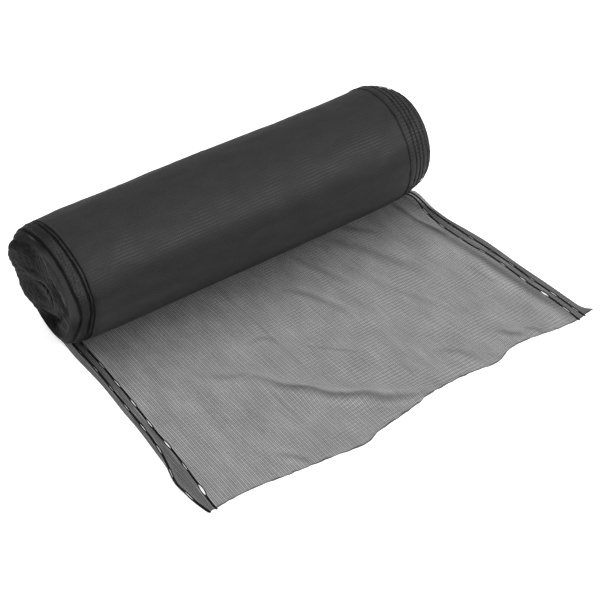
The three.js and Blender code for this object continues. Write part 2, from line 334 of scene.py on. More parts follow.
@dataclass
class Form:
    """A mesh being made: its points, its faces and what is known at each point.

    Attributes:
        points: The points, one row each.
        faces: Faces as lists of point numbers.
        marks: Named numbers held at each point, for the finish to read.
        flat: How many of the last faces are shaded flat.
    """

    points: np.ndarray
    faces: list[list[int]]
    marks: dict[str, np.ndarray] = field(default_factory=dict)
    flat: int = 0

    def merged(self, other: "Form") -> "Form":
        """This form and another as one.

        Args:
            other: The other form, with the same marks.

        Returns:
            One form with the points, faces and marks of both.
        """
        count = len(self.points)
        faces = self.faces + [[index + count for index in face] for face in other.faces]
        marks = {name: np.concatenate([self.marks[name], other.marks[name]]) for name in self.marks}
        return Form(np.concatenate([self.points, other.points]), faces, marks)

    def piece(self, name: str, finish: bpy.types.Material, slot: Slot) -> bpy.types.Object:
        """Makes the form a Blender object that rides with the part.

        Args:
            name: The piece's name.
            finish: Its material.
            slot: The material slot meant for its finish; not used.

        Returns:
            The new object.
        """
        mesh = bpy.data.meshes.new(name)
        mesh.from_pydata(self.points.tolist(), [], self.faces)
        smooth = np.ones(len(self.faces), bool)
        if self.flat:
            smooth[-self.flat:] = False
        mesh.polygons.foreach_set("use_smooth", smooth)
        for mark, values in self.marks.items():
            mesh.attributes.new(mark, "FLOAT", "POINT").data.foreach_set("value", values.astype(np.float32))
        mesh.materials.append(finish)
        mesh.update()
        made = new_object(name, mesh)
        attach(made, BODY)
        log.info("%s: %d points, %d faces", name, len(mesh.vertices), len(mesh.polygons))
        return made


def thin_body(points: np.ndarray, quads: np.ndarray, thickness: float, marks: dict[str, np.ndarray]) -> Form:
    """Gives an open surface a thickness on its upper side and closes all its edges.

    Args:
        points: The underside's points.
        quads: Its quads, anticlockwise from above.
        thickness: How thick the body is.
        marks: What is known at each point.

    Returns:
        The closed body.
    """
    count = len(points)
    over = points + point_normals(points, quads) * thickness
    sides = np.concatenate([quads[:, [i, (i + 1) % 4]] for i in range(4)])
    codes = sides[:, 0] * count + sides[:, 1]
    back = sides[:, 1] * count + sides[:, 0]
    rim = sides[~np.isin(codes, back)]
    walls = np.stack([rim[:, 0], rim[:, 1], rim[:, 1] + count, rim[:, 0] + count], -1)
    faces = np.concatenate([quads + count, quads[:, ::-1], walls])
    return Form(
        np.concatenate([points, over]),
        faces.tolist(),
        {name: np.concatenate([values, values]) for name, values in marks.items()},
    )


def strand(
    middle: np.ndarray, outward: np.ndarray, half_width: np.ndarray, half_height: np.ndarray,
    along: np.ndarray, sides: int, closed: bool,
) -> Form:
    """A flattened tube along a line.

    Args:
        middle: The line's points.
        outward: About the direction of its height, at each point or for all of it.
        half_width: Half its width at each point.
        half_height: Half its height at each point.
        along: How far along the line each point lies.
        sides: How many points go round it.
        closed: Whether the line ends where it starts.

    Returns:
        The closed tube.
    """
    ahead = np.roll(middle, -1, 0) - np.roll(middle, 1, 0) if closed else np.gradient(middle, axis=0)
    heading = unit(ahead)
    sideways = unit(np.cross(heading, outward))
    upwards = np.cross(sideways, heading)
    turn = TURN * np.arange(sides) / sides
    ring = (
        middle[:, None]
        + sideways[:, None] * (half_width[:, None] * np.cos(turn))[..., None]
        + upwards[:, None] * (half_height[:, None] * np.sin(turn))[..., None]
    )
    rows = len(middle)
    index = ring_index(rows, sides)
    if closed:
        index = np.concatenate([index, index[:1]])
    faces = grid_quads(index).tolist()
    if not closed:
        faces += [list(range(sides)), list(range(rows * sides - 1, (rows - 1) * sides - 1, -1))]
    marks = {"along": np.repeat(along, sides)}
    return Form(ring.reshape(-1, 3), faces, marks)


class Bench:
    """Short calls for putting a node material together."""

    def __init__(self, name: str) -> None:
        """Starts a material of its own.

        Args:
            name: The material's name.
        """
        self.material = bpy.data.materials.new(name)
        self.material.use_nodes = True
        self.tree = self.material.node_tree
        self.shader = self.tree.nodes["Principled BSDF"]

    def node(self, kind: str, **settings: object) -> bpy.types.Node:
        """Adds a node.

        Args:
            kind: Blender's name of the node's kind.
            settings: Its own options.

        Returns:
            The node.
        """
        made = self.tree.nodes.new(kind)
        for name, value in settings.items():
            setattr(made, name, value)
        return made

    def feed(self, socket: bpy.types.NodeSocket, value: object) -> None:
        """Links another node's output to a socket, or sets the socket's value."""
        if isinstance(value, bpy.types.NodeSocket):
            self.tree.links.new(value, socket)
        else:
            socket.default_value = value

    def set(self, name: str, value: object) -> None:
        """Feeds one of the shader's own inputs."""
        self.feed(self.shader.inputs[name], value)

    def math(self, operation: str, *values: object) -> bpy.types.NodeSocket:
        """One step of arithmetic.

        Args:
            operation: Blender's name of the operation.
            values: Sockets or numbers to work on.

        Returns:
            The result's socket.
        """
        made = self.node("ShaderNodeMath", operation=operation)
        for socket, value in zip(made.inputs, values):
            self.feed(socket, value)
        return made.outputs[0]

    def product(self, *values: object) -> bpy.types.NodeSocket:
        """The product of two or more sockets or numbers.

        Args:
            values: What is multiplied, in order.

        Returns:
            The product's socket.
        """
        total = values[0]
        for value in values[1:]:
            total = self.math("MULTIPLY", total, value)
        return total

    def scaled(self, value: object, scale: object, base: object) -> bpy.types.NodeSocket:
        """A value times a scale, plus a base."""
        return self.math("MULTIPLY_ADD", value, scale, base)

    def mark(self, name: str) -> bpy.types.NodeSocket:
        """A named number held by the mesh at each point."""
        return self.node("ShaderNodeAttribute", attribute_name=name).outputs["Fac"]

    def place(self, a: object, b: object, c: object = 0.0) -> bpy.types.NodeSocket:
        """A vector.

        Args:
            a: Its X, as a number or a socket.
            b: Its Y.
            c: Its Z.

        Returns:
            The vector's socket.
        """
        made = self.node("ShaderNodeCombineXYZ")
        for socket, value in zip(made.inputs, (a, b, c)):
            self.feed(socket, value)
        return made.outputs[0]

    def waves(self, a: object, b: object, per_a: float, per_b: float) -> bpy.types.NodeSocket:
        """A place whose two coordinates are counted in waves, per_a and per_b of them in a metre."""
        return self.place(self.math("MULTIPLY", a, per_a), self.math("MULTIPLY", b, per_b))

    def noise(self, vector: bpy.types.NodeSocket, scale: float, detail: float = 2.0) -> bpy.types.NodeSocket:
        """Soft noise from 0 to 1.

        Args:
            vector: Where it is read.
            scale: How many waves fit in one unit.
            detail: How many finer layers it has.

        Returns:
            The noise's socket.
        """
        made = self.node("ShaderNodeTexNoise")
        self.feed(made.inputs["Vector"], vector)
        self.feed(made.inputs["Scale"], scale)
        self.feed(made.inputs["Detail"], detail)
        return made.outputs["Fac"]

    def spread(
        self, value: object, low: float, high: float, to_low: float, to_high: float,
    ) -> bpy.types.NodeSocket:
        """Carries a value from one range to another, smoothly at both ends.

        Args:
            value: The value.
            low: The first range's start.
            high: The first range's end.
            to_low: What its start becomes.
            to_high: What its end becomes.

        Returns:
            The carried value's socket.
        """
        made = self.node("ShaderNodeMapRange", interpolation_type="SMOOTHSTEP")
        for name, number in zip(
            ("Value", "From Min", "From Max", "To Min", "To Max"), (value, low, high, to_low, to_high)
        ):
            self.feed(made.inputs[name], number)
        return made.outputs["Result"]

    def wave(self, value: object, pitch: float) -> bpy.types.NodeSocket:
        """A cosine of a length, with the given pitch, from -1 to 1."""
        return self.math("COSINE", self.math("MULTIPLY", value, TURN / pitch))

    def grey(self, value: bpy.types.NodeSocket) -> bpy.types.NodeSocket:
        """A neutral colour.

        Args:
            value: Its brightness.

        Returns:
            The colour's socket.
        """
        made = self.node("ShaderNodeCombineColor")
        for socket in made.inputs:
            self.feed(socket, value)
        return made.outputs[0]

    def bump(self, height: bpy.types.NodeSocket, distance: float, strength: float) -> None:
        """Raises the shader's surface.

        Args:
            height: The relief, from 0 to 1.
            distance: How high 1 stands.
            strength: The share of it that shows.
        """
        made = self.node("ShaderNodeBump")
        self.feed(made.inputs["Height"], height)
        self.feed(made.inputs["Distance"], distance)
        self.feed(made.inputs["Strength"], strength)
        self.set("Normal", made.outputs["Normal"])


@dataclass(frozen=True)
class LooseKnit:
    """One layer of the knit, seen through.

    Attributes:
        brightness: The threads' own grey.
        roughness: How matt they are.
        shine: How strongly they mirror.
        open_share: The share of light that one layer lets through where it lies flat.
        chain_pitch: From one knitted chain to the next, across the net.
        thread_pitch: From one laid-in thread to the next, along the net.
        rib_pitch: From one heavier laid-in thread to the next.
        rib_depth: How much the heavier threads close the net.
        chain_depth: How much every second chain closes the net.
        streak_depth: How much the lengthwise streaks vary the openness.
        cloud_depth: How much the soft clouds vary it.
        drift: How far the threads wander to each side.
        drift_waves: How often they do so in a metre.
        patch_waves: How many patches of heavier threads lie in a metre.
        streak_waves: How many streaks lie in a metre, across the net and along it.
        cloud_waves: How many clouds do.
        open_limits: The least and the most light that one layer lets through.
    """

    brightness: float = 0.016
    roughness: float = 0.62
    shine: float = 0.15
    open_share: float = 0.30
    chain_pitch: float = 0.0038
    thread_pitch: float = 0.00243
    rib_pitch: float = 0.0097
    rib_depth: float = 0.15
    chain_depth: float = 0.08
    streak_depth: float = 0.13
    cloud_depth: float = 0.18
    drift: float = 0.006
    drift_waves: float = 9.0
    patch_waves: float = 13.0
    streak_waves: tuple[float, float] = (150.0, 11.0)
    cloud_waves: tuple[float, float] = (22.0, 11.0)
    open_limits: tuple[float, float] = (0.02, 0.9)

    def material(self) -> bpy.types.Material:
        """Builds the see-through material.

        Returns:
            The material.
        """
        bench = Bench("loose_knit")
        across, along = bench.mark("across"), bench.mark("along")
        where = bench.place(across, along)
        drift = bench.scaled(bench.noise(where, self.drift_waves), 2 * self.drift, -self.drift)
        course = bench.math("ADD", along, drift)
        wale = bench.math("ADD", across, bench.product(drift, 0.4))
        chains = bench.scaled(bench.wave(wale, self.chain_pitch), 0.25, 0.75)
        threads = bench.scaled(bench.wave(course, self.thread_pitch), 0.25, 0.75)
        fine = bench.product(chains, threads, 1 / 0.75**2)

        rib_patch = bench.spread(bench.noise(where, self.patch_waves, 1.0), 0.36, 0.62, 0.15, 1.0)
        rib_side = bench.spread(across, -0.32, 0.05, 0.35, 1.0)
        rib = bench.product(bench.wave(course, self.rib_pitch), bench.product(rib_patch, rib_side))
        chain_side = bench.spread(across, -0.2, 0.2, 1.0, 0.35)
        doubled = bench.product(bench.wave(wale, 2 * self.chain_pitch), chain_side)
        streaks = bench.noise(bench.waves(across, along, *self.streak_waves), 1.0, 3.0)
        clouds = bench.noise(bench.waves(across, along, *self.cloud_waves), 1.0, 2.0)

        openness = bench.product(fine, self.open_share)
        for pattern, middle, depth in (
            (rib, 0.0, -self.rib_depth), (doubled, 0.0, -self.chain_depth),
            (streaks, 0.5, 2 * self.streak_depth), (clouds, 0.5, 2 * self.cloud_depth),
            # The mark closes the knit where it bunches, and along the creases darkens it as painted shade.
            (bench.mark("gather_and_painted_shade"), 0.0, -1.0),
        ):
            openness = bench.product(openness, bench.scaled(pattern, depth, 1 - middle * depth))
        least, most = self.open_limits
        held = bench.math("MINIMUM", bench.math("MAXIMUM", openness, least), most)
        bench.set("Alpha", bench.math("SUBTRACT", 1.0, bench.math("SQRT", held)))
        shade = bench.product(bench.spread(streaks, 0.2, 0.8, 0.8, 1.25), self.brightness)
        bench.set("Base Color", bench.grey(shade))
        bench.set("Roughness", self.roughness)
        bench.set("Specular IOR Level", self.shine)
        bench.bump(bench.math("SUBTRACT", 1.0, fine), 0.0004, 0.4)
        return bench.material


@dataclass(frozen=True)
class WoundKnit:
    """The knit where many turns lie on each other, so that nothing shows through.

    Attributes:
        brightness: The threads' own grey.
        roughness: How matt they are.
        shine: How strongly they mirror.
        chain_pitch: From one knitted chain to the next.
        rib_pitch: From one heavier laid-in thread to the next.
        mottle_depth: How much the brightness varies from place to place.
        rib_depth: How much the ribs vary it.
        painted_light_depth: How much the mark of painted light and wear lightens the knit, and how much its
            painted shade darkens it.
        gleam: How much lighter the knots are painted along the roll's front, as a painted highlight.
        drift: How far the threads wander to each side.
        drift_waves: How often they do so in a metre.
        patch_waves: How many patches of heavier threads lie in a metre.
        mottle_waves: How many mottles lie in a metre, across the net and along it.
        grain_waves: How many grains do.
        darkest: The least share of its light that the knit keeps.
    """

    brightness: float = 0.0164
    roughness: float = 0.66
    shine: float = 0.12
    chain_pitch: float = 0.0048
    rib_pitch: float = 0.0076
    mottle_depth: float = 0.24
    rib_depth: float = 0.10
    painted_light_depth: float = 0.9
    gleam: float = 0.85
    drift: float = 0.005
    drift_waves: float = 12.0
    patch_waves: float = 16.0
    mottle_waves: tuple[float, float] = (16.0, 34.0)
    grain_waves: float = 300.0
    darkest: float = 0.05

    def material(self) -> bpy.types.Material:
        """Builds the opaque material.

        Returns:
            The material.
        """
        bench = Bench("wound_knit")
        across, along = bench.mark("across"), bench.mark("along")
        where = bench.place(across, along)
        drift = bench.scaled(bench.noise(where, self.drift_waves), 2 * self.drift, -self.drift)
        chains = bench.wave(bench.math("ADD", across, drift), self.chain_pitch)
        ribs = bench.wave(bench.math("ADD", along, drift), self.rib_pitch)
        rib_patch = bench.spread(bench.noise(where, self.patch_waves, 1.0), 0.38, 0.64, 0.1, 1.0)
        grain = bench.noise(where, self.grain_waves, 2.0)
        mottle = bench.noise(bench.waves(across, along, *self.mottle_waves), 1.0, 3.0)
        dots = bench.product(bench.scaled(chains, 0.5, 0.5), bench.scaled(ribs, 0.5, 0.5))
        # Painted highlight on the knots along the roll's front.
        gleam = bench.product(bench.mark("front"), bench.scaled(rib_patch, 0.9, 0.1))
        # The mark of painted light and shade, with its worn specks, scales the knit's colour and its shine.
        lit = bench.math("MAXIMUM", bench.scaled(bench.mark("painted_light_and_wear"), self.painted_light_depth, 1.0), self.darkest)
        shade = bench.product(
            bench.scaled(mottle, 2 * self.mottle_depth, 1 - self.mottle_depth),
            bench.scaled(bench.product(ribs, rib_patch), self.rib_depth, 1.0),
            bench.scaled(grain, 1.0, 0.5),
            bench.scaled(bench.product(dots, gleam), self.gleam, 1.0),
            lit, self.brightness,
        )
        bench.set("Base Color", bench.grey(shade))
        bench.set("Roughness", self.roughness)
        bench.set("Specular IOR Level", bench.product(lit, self.shine))
        bench.bump(bench.scaled(dots, 0.6, bench.product(grain, 0.4)), 0.0012, 0.4)
        return bench.material


@dataclass(frozen=True)
class BandYarn:
    """The dense black yarn of the eyelet bands.

    Attributes:
        name: The material's name.
        brightness: Its own grey.
        roughness: How matt it is.
        shine: How strongly it mirrors.
        stitch_pitch: From one stitch to the next.
        fibre_waves: How many fibres lie in a metre.
    """

    name: str = "band_yarn"
    brightness: float = 0.004
    roughness: float = 0.6
    shine: float = 0.06
    stitch_pitch: float = 0.0032
    fibre_waves: float = 1600.0

    def material(self) -> bpy.types.Material:
        """Builds the yarn's material.

        Returns:
            The material.
        """
        bench = Bench(self.name)
        stitches = bench.wave(bench.mark("along"), self.stitch_pitch)
        fibres = bench.noise(bench.node("ShaderNodeTexCoord").outputs["Object"], self.fibre_waves, 2.0)
        shade = bench.scaled(stitches, 0.25, bench.scaled(fibres, 1.2, 0.5))
        bench.set("Base Color", bench.grey(bench.product(shade, self.brightness)))
        bench.set("Roughness", self.roughness)
        bench.set("Specular IOR Level", self.shine)
        bench.bump(fibres, 0.0004, 0.5)
        return bench.material


@dataclass(frozen=True)
class FloorPaint:
    """The pale floor's plain finish, lit a little from below as a light table is.

    Attributes:
        brightness: Its grey.
        roughness: How matt it is.
        glow: The light that it gives off itself.
        glow_under: The same under the net beside the roll.
        half_width: How far along X that darker patch reaches.
        side_fade: How wide the soft line at its sides is.
        start: The runs between which it begins behind the roll.
        fade: The runs between which it fades out towards the free edge.
    """

    brightness: float = 0.92
    roughness: float = 0.9
    glow: float = 0.45
    glow_under: float = 0.03
    half_width: float = 0.492
    side_fade: float = 0.008
    start: tuple[float, float] = (-0.1, -0.06)
    fade: tuple[float, float] = (0.06, 0.34)

    def material(self) -> bpy.types.Material:
        """Builds the floor's material.

        Returns:
            The material.
        """
        bench = Bench("floor_paint")
        bench.set("Base Color", (*[self.brightness] * 3, 1.0))
        bench.set("Roughness", self.roughness)
        bench.set("Specular IOR Level", 0.1)
        bench.set("Emission Color", (1.0, 1.0, 1.0, 1.0))
        place = bench.node("ShaderNodeSeparateXYZ")
        bench.feed(place.inputs[0], bench.node("ShaderNodeTexCoord").outputs["Object"])
        run = bench.product(place.outputs["Y"], -1.0)
        across = bench.math("ABSOLUTE", place.outputs["X"])
        under = bench.product(
            bench.spread(run, *self.fade, 1.0, 0.0),
            bench.spread(run, *self.start, 0.0, 1.0),
            bench.spread(across, self.half_width - self.side_fade, self.half_width, 1.0, 0.0),
        )
        # The glow is painted light that fills the floor's shadows; it is turned down under the net beside
        # the roll, where the shade shows.
        glow = bench.scaled(under, self.glow_under - self.glow, self.glow)
        bench.set("Emission Strength", glow)
        return bench.material


@dataclass
class Viewpoint:
    """The camera, as a standing viewer's.

    Attributes:
        azimuth: Degrees round the object, where 0 looks along +Y.
        elevation: Degrees above the ground.
        roll: Degrees that the camera is tilted to its side.
        distance: From the camera to what it looks at.
        target: What it looks at.
        lens: Focal length in millimetres, for a sensor 36 mm wide.
    """

    azimuth: float = -30.9616
    elevation: float = 37.6253
    roll: float = -5.1346
    distance: float = 2.97719
    target: tuple[float, float, float] = (0.01351, -0.24229, 0.0)
    lens: float = 76.02

    def build(self) -> None:
        """Places the camera and makes it the scene's own."""
        a, e = math.radians(self.azimuth), math.radians(self.elevation)
        back = Vector((math.sin(a) * math.cos(e), -math.cos(a) * math.cos(e), math.sin(e)))
        level = Vector((math.cos(a), math.sin(a), 0.0))
        right = (Matrix.Rotation(math.radians(self.roll), 3, back) @ level).normalized()
        axes = Matrix((right, back.cross(right), back)).transposed()
        data = bpy.data.cameras.new("viewpoint")
        data.lens, data.sensor_width = self.lens, 36.0
        data.clip_start, data.clip_end = 0.05, 60.0
        made = new_object("viewpoint", data)
        made.matrix_world = Matrix.Translation(Vector(self.target) + back * self.distance) @ axes.to_4x4()
        bpy.context.scene.camera = made


@dataclass
class Studio:
    """A pale floor under plain soft light.

    Attributes:
        floor_size: The floor's side.
        floor_drop: How far the floor lies below the part, so that the two never share a plane.
        sky_strength: The even light from all round.
        key_place: Where the large soft lamp stands.
        key_size: Its side.
        key_power: Its power in watts.
    """

    floor_size: float = 16.0
    floor_drop: float = 0.0002
    sky_strength: float = 1.05
    key_place: tuple[float, float, float] = (0.9, -3.3, 2.2)
    key_size: float = 1.5
    key_power: float = 120.0

    def build(self, paint: FloorPaint) -> None:
        """Makes the floor, the sky and the lamp.

        Args:
            paint: The floor's finish.
        """
        half = self.floor_size / 2
        mesh = bpy.data.meshes.new("floor")
        corners = [(-half, -half, -self.floor_drop), (half, -half, -self.floor_drop),
                   (half, half, -self.floor_drop), (-half, half, -self.floor_drop)]
        mesh.from_pydata(corners, [], [(0, 1, 2, 3)])
        mesh.materials.append(paint.material())
        floor = new_object("floor", mesh)

        world = bpy.data.worlds.new("sky")
        world.use_nodes = True
        sky = world.node_tree.nodes["Background"]
        sky.inputs["Color"].default_value = (1.0, 1.0, 1.0, 1.0)
        sky.inputs["Strength"].default_value = self.sky_strength
        bpy.context.scene.world = world

        lamp = bpy.data.lights.new("key", "AREA")
        lamp.shape, lamp.size, lamp.energy = "SQUARE", self.key_size, self.key_power
        key = new_object("key", lamp)
        key.location = self.key_place
        key.rotation_euler = Vector(self.key_place).to_track_quat("Z", "Y").to_euler()
        bpy.context.scene.view_settings.view_transform = "Standard"


class BandPlace(Enum):
    """The four eyelet bands, by the CAD node that each stands for."""

    LEFT_OUTER = "band_left_outer"
    LEFT_INNER = "band_left_inner"
    RIGHT_INNER = "band_right_inner"
    RIGHT_OUTER = "band_right_outer"


class EyeletRow(NamedTuple):
    """A band's eyelets: where the first lies, their pitch and how wide each stands open."""

    first: float
    pitch: float
    widths: tuple[float, ...]


@dataclass
class WoundTurns:
    """The wound roll's own shape, shared by all that lies on it.

    Attributes:
        rows: The rings that make up the roll, from left to right.
        bow_angle: The angle at which the rings bow furthest, which faces the loose end.
        waves: Lobes round the roll, their height and their wavelength along it.
        free_height: Above this height the turns aren't pressed by the ground.
    """

    rows: tuple[TurnRow, ...] = (
        TurnRow(-0.513, 0.122, 0.148, 0.0124),
        TurnRow(-0.511, 0.13, 0.148, 0.0124),
        TurnRow(-0.5065, 0.1367, 0.147, 0.0124),
        TurnRow(-0.502, 0.1397, 0.147, 0.0124),
        TurnRow(-0.498, 0.1412, 0.1465, 0.0124),
        TurnRow(-0.494, 0.142, 0.146, 0.0124),
        TurnRow(-0.474, 0.1446, 0.146, 0.0128),
        TurnRow(-0.47, 0.1451, 0.146, 0.0128),
        TurnRow(-0.466, 0.1458, 0.146, 0.0128),
        TurnRow(-0.444, 0.148, 0.146, 0.007),
        TurnRow(-0.39, 0.15, 0.147, 0.0),
        TurnRow(-0.28, 0.15, 0.147, 0.0),
        TurnRow(-0.16, 0.15, 0.147, 0.0),
        TurnRow(0.08, 0.15, 0.147, 0.0),
        TurnRow(0.31, 0.15, 0.147, 0.0),
        TurnRow(0.38, 0.15, 0.148, 0.0),
        TurnRow(0.42, 0.1494, 0.1514, 0.0),
        TurnRow(0.441, 0.147, 0.1534, 0.0),
        TurnRow(0.456, 0.1426, 0.153, 0.0),
        TurnRow(0.471, 0.138, 0.1516, 0.0),
        TurnRow(0.488, 0.1312, 0.1494, 0.0),
        TurnRow(0.498, 0.1256, 0.148, 0.0),
        TurnRow(0.507, 0.117, 0.1484, 0.0),
        TurnRow(0.514, 0.101, 0.149, 0.0),
    )
    bow_angle: float = math.radians(155)
    waves: tuple[tuple[int, float, float], ...] = ((2, 0.0008, 0.64), (3, 0.0007, 0.43))
    free_height: float = 0.045

    def read(self, column: str, x: np.ndarray) -> np.ndarray:
        """One column of the rings' table at places along the roll."""
        return read_rows(self.rows, "x", column, x)

    def underside(self, x: np.ndarray) -> np.ndarray:
        """How high the roll's lowest line lies at places along it."""
        return np.maximum(self.read("axis", x) - self.read("radius", x), 0)

    def points(self, x: np.ndarray, angle: np.ndarray, proud: np.ndarray | float = 0.0) -> np.ndarray:
        """Points on the roll's side.

        Args:
            x: Places along the roll.
            angle: Angles round it, where 0 points to +Y and a quarter turn up.
            proud: How far the points stand out from the smooth roll.

        Returns:
            The points, pressed flat where they would reach into the ground.
        """
        x, angle = np.broadcast_arrays(x, angle)
        radius, axis = self.read("radius", x), self.read("axis", x)
        free = soft_step(axis + radius * np.sin(angle), 0, self.free_height)
        reach = radius + np.asarray(proud) * free
        for lobes, height, length in self.waves:
            reach = reach + height * free * np.sin(lobes * angle + TURN * x / length)
        facing = np.clip(np.cos(angle - self.bow_angle), 0, None)
        out = x + self.read("bow", x) * facing**1.5
        up = np.maximum(axis + reach * np.sin(angle), 0.0003)
        return np.stack([out, reach * np.cos(angle), up], -1)

    def stations(self, first: float, last: float, count: int) -> np.ndarray:
        """Places along the roll that are even steps apart along its outline.

        Args:
            first: Where they start.
            last: Where they end.
            count: How many there are.

        Returns:
            The places along X.
        """
        x = np.linspace(first, last, 400)
        steps = np.hypot(np.diff(x), np.diff(self.read("radius", x)))
        length = np.concatenate([[0], np.cumsum(steps)])
        return np.interp(np.linspace(0, length[-1], count), length, x)


@dataclass
class LooseEndPlan:
    """Where everything on the loose end lies, and how high.

    Attributes:
        roll: The roll that it comes from.
        left: The left edge and its bands.
        right: The right edge and its bands.
        free_edge: The free edge.
        folds: The broad soft folds.
        creases: The finer creases.
        eyelets: The eyelets of each band.
        start: Where the net leaves the roll, in front of its middle.
        fold_rise: Over what length the folds rise from there.
        descent: Over what run the net comes down from the lifted ends of the roll.
        slit_length: An eyelet's length.
        ground_gap: How far the net lies above the ground.
        lifted_start: Where the net starts under the lifted ends of the roll.
        lift_range: Between what heights of the roll's underside its start moves there.
        net_drop: How far below that underside it leaves the roll.
        fold_gap: How far after its start the folds begin.
        ragged: The raggedness of the cut.
        crease_wander: How unevenly wide a crease is.
        flank_place: How far beside a crease the knit is pulled open and painted lighter, in half widths.
        flank_share: How much it is pulled open and painted lighter there.
        crease_foot: How wide a crease's ridge is, in half widths.
    """

    roll: WoundTurns
    left: tuple[SideRow, ...] = (
        SideRow(0.038, -0.502, -0.485, -0.468),
        SideRow(0.090, -0.502, -0.485, -0.468),
        SideRow(0.150, -0.500, -0.484, -0.467),
        SideRow(0.210, -0.498, -0.485, -0.468),
        SideRow(0.270, -0.499, -0.487, -0.469),
        SideRow(0.330, -0.501, -0.489, -0.471),
        SideRow(0.380, -0.501, -0.490, -0.473),
        SideRow(0.430, -0.503, -0.492, -0.475),
        SideRow(0.480, -0.506, -0.496, -0.475),
        SideRow(0.530, -0.5095, -0.505, -0.477),
        SideRow(0.580, -0.519, -0.516, -0.481),
        SideRow(0.630, -0.516, -0.513, -0.484),
        SideRow(0.675, -0.508, -0.505, -0.487),
        SideRow(0.700, -0.502, -0.499, -0.486),
    )
    right: tuple[SideRow, ...] = (
        SideRow(0.038, 0.492, 0.483, 0.474),
        SideRow(0.090, 0.493, 0.482, 0.472),
        SideRow(0.150, 0.493, 0.482, 0.466),
        SideRow(0.210, 0.492, 0.480, 0.460),
        SideRow(0.270, 0.497, 0.481, 0.459),
        SideRow(0.330, 0.501, 0.483, 0.461),
        SideRow(0.380, 0.501, 0.484, 0.467),
        SideRow(0.430, 0.499, 0.484, 0.468),
        SideRow(0.480, 0.498, 0.483, 0.466),
        SideRow(0.530, 0.498, 0.481, 0.464),
        SideRow(0.580, 0.498, 0.481, 0.465),
        SideRow(0.630, 0.497, 0.481, 0.464),
        SideRow(0.675, 0.499, 0.479, 0.462),
        SideRow(0.700, 0.518, 0.480, 0.460),
    )
    free_edge: tuple[EdgeRow, ...] = tuple(EdgeRow(*row) for row in (
        (-0.505, 0.688), (-0.412, 0.687), (-0.325, 0.700), (-0.236, 0.712), (-0.146, 0.725), (-0.110, 0.712),
        (-0.053, 0.705), (0.006, 0.697), (0.095, 0.687), (0.149, 0.689), (0.225, 0.699), (0.266, 0.685),
        (0.299, 0.681), (0.349, 0.690), (0.459, 0.702), (0.496, 0.696), (0.520, 0.695),
    ))
    folds: tuple[Fold, ...] = (
        Fold(-0.238, 0.400, -0.160, 0.530, 0.007, 0.030),
        Fold(-0.160, 0.530, -0.066, 0.612, 0.009, 0.030),
        Fold(-0.066, 0.612, 0.044, 0.676, 0.008, 0.028),
        Fold(-0.128, 0.240, -0.140, 0.470, 0.004, 0.028),
        Fold(-0.030, 0.175, 0.062, 0.350, 0.005, 0.030),
        Fold(0.404, 0.120, 0.414, 0.400, 0.007, 0.026),
        Fold(0.414, 0.400, 0.428, 0.640, 0.006, 0.024),
        Fold(0.205, 0.120, 0.236, 0.300, 0.005, 0.030),
        Fold(0.300, 0.628, 0.352, 0.672, 0.006, 0.026),
        Fold(-0.270, 0.560, -0.226, 0.640, 0.004, 0.026),
        Fold(0.500, 0.084, 0.470, 0.096, 0.013, 0.036),
        Fold(-0.500, 0.575, -0.500, 0.610, 0.005, 0.030),
        Fold(-0.390, 0.150, -0.350, 0.330, 0.004, 0.034),
    )
    creases: tuple[Crease, ...] = (
        Crease(((-0.218, 0.415), (-0.195, 0.470), (-0.160, 0.520), (-0.128, 0.565), (-0.085, 0.605),
                (-0.040, 0.645), (0.000, 0.670), (0.035, 0.685)), 0.0075, 0.52, 0.0030),
        Crease(((-0.305, 0.335), (-0.270, 0.370), (-0.240, 0.395), (-0.218, 0.420)), 0.009, 0.14, 0.0010),
        Crease(((-0.115, 0.070), (-0.116, 0.250), (-0.118, 0.500)), 0.0030, 0.15, 0.0004),
        Crease(((-0.218, 0.400), (-0.217, 0.560), (-0.215, 0.705)), 0.0026, 0.13, 0.0004),
        Crease(((0.005, 0.190), (0.040, 0.250), (0.058, 0.310), (0.068, 0.370)), 0.0085, 0.24, 0.0016),
        Crease(((0.096, 0.080), (0.108, 0.150), (0.122, 0.200), (0.134, 0.260)), 0.0080, 0.18, 0.0012),
        Crease(((0.205, 0.095), (0.240, 0.160), (0.268, 0.240), (0.300, 0.340)), 0.0140, 0.22, 0.0016),
        Crease(((0.262, 0.060), (0.285, 0.095), (0.318, 0.140)), 0.0090, 0.24, 0.0016),
        Crease(((0.185, 0.280), (0.218, 0.380), (0.262, 0.495)), 0.0080, 0.10, 0.0008),
        Crease(((-0.074, 0.388), (-0.022, 0.448), (0.012, 0.488)), 0.0035, 0.16, 0.0008),
        Crease(((-0.168, 0.304), (-0.140, 0.308), (-0.124, 0.322), (-0.120, 0.345)), 0.0060, 0.17, 0.0010),
        Crease(((0.426, 0.050), (0.423, 0.120), (0.422, 0.165), (0.430, 0.205), (0.440, 0.260)),
               0.0050, 0.62, 0.0020),
        Crease(((0.428, 0.180), (0.440, 0.260), (0.446, 0.400), (0.450, 0.560), (0.455, 0.700)),
               0.0120, 0.52, 0.0012),
        Crease(((0.288, 0.622), (0.308, 0.650), (0.330, 0.668)), 0.0060, 0.34, 0.0016),
        Crease(((0.342, 0.652), (0.358, 0.672), (0.372, 0.690)), 0.0055, 0.32, 0.0016),
        Crease(((0.150, 0.590), (0.182, 0.620), (0.198, 0.662)), 0.0080, 0.16, 0.0010),
        Crease(((-0.308, 0.640), (-0.285, 0.668), (-0.268, 0.700)), 0.0060, 0.24, 0.0012),
        Crease(((0.396, 0.395), (0.402, 0.450), (0.406, 0.495)), 0.0030, 0.16, 0.0006),
        Crease(((-0.395, 0.100), (-0.388, 0.200), (-0.392, 0.330)), 0.0100, 0.07, 0.0006),
    )
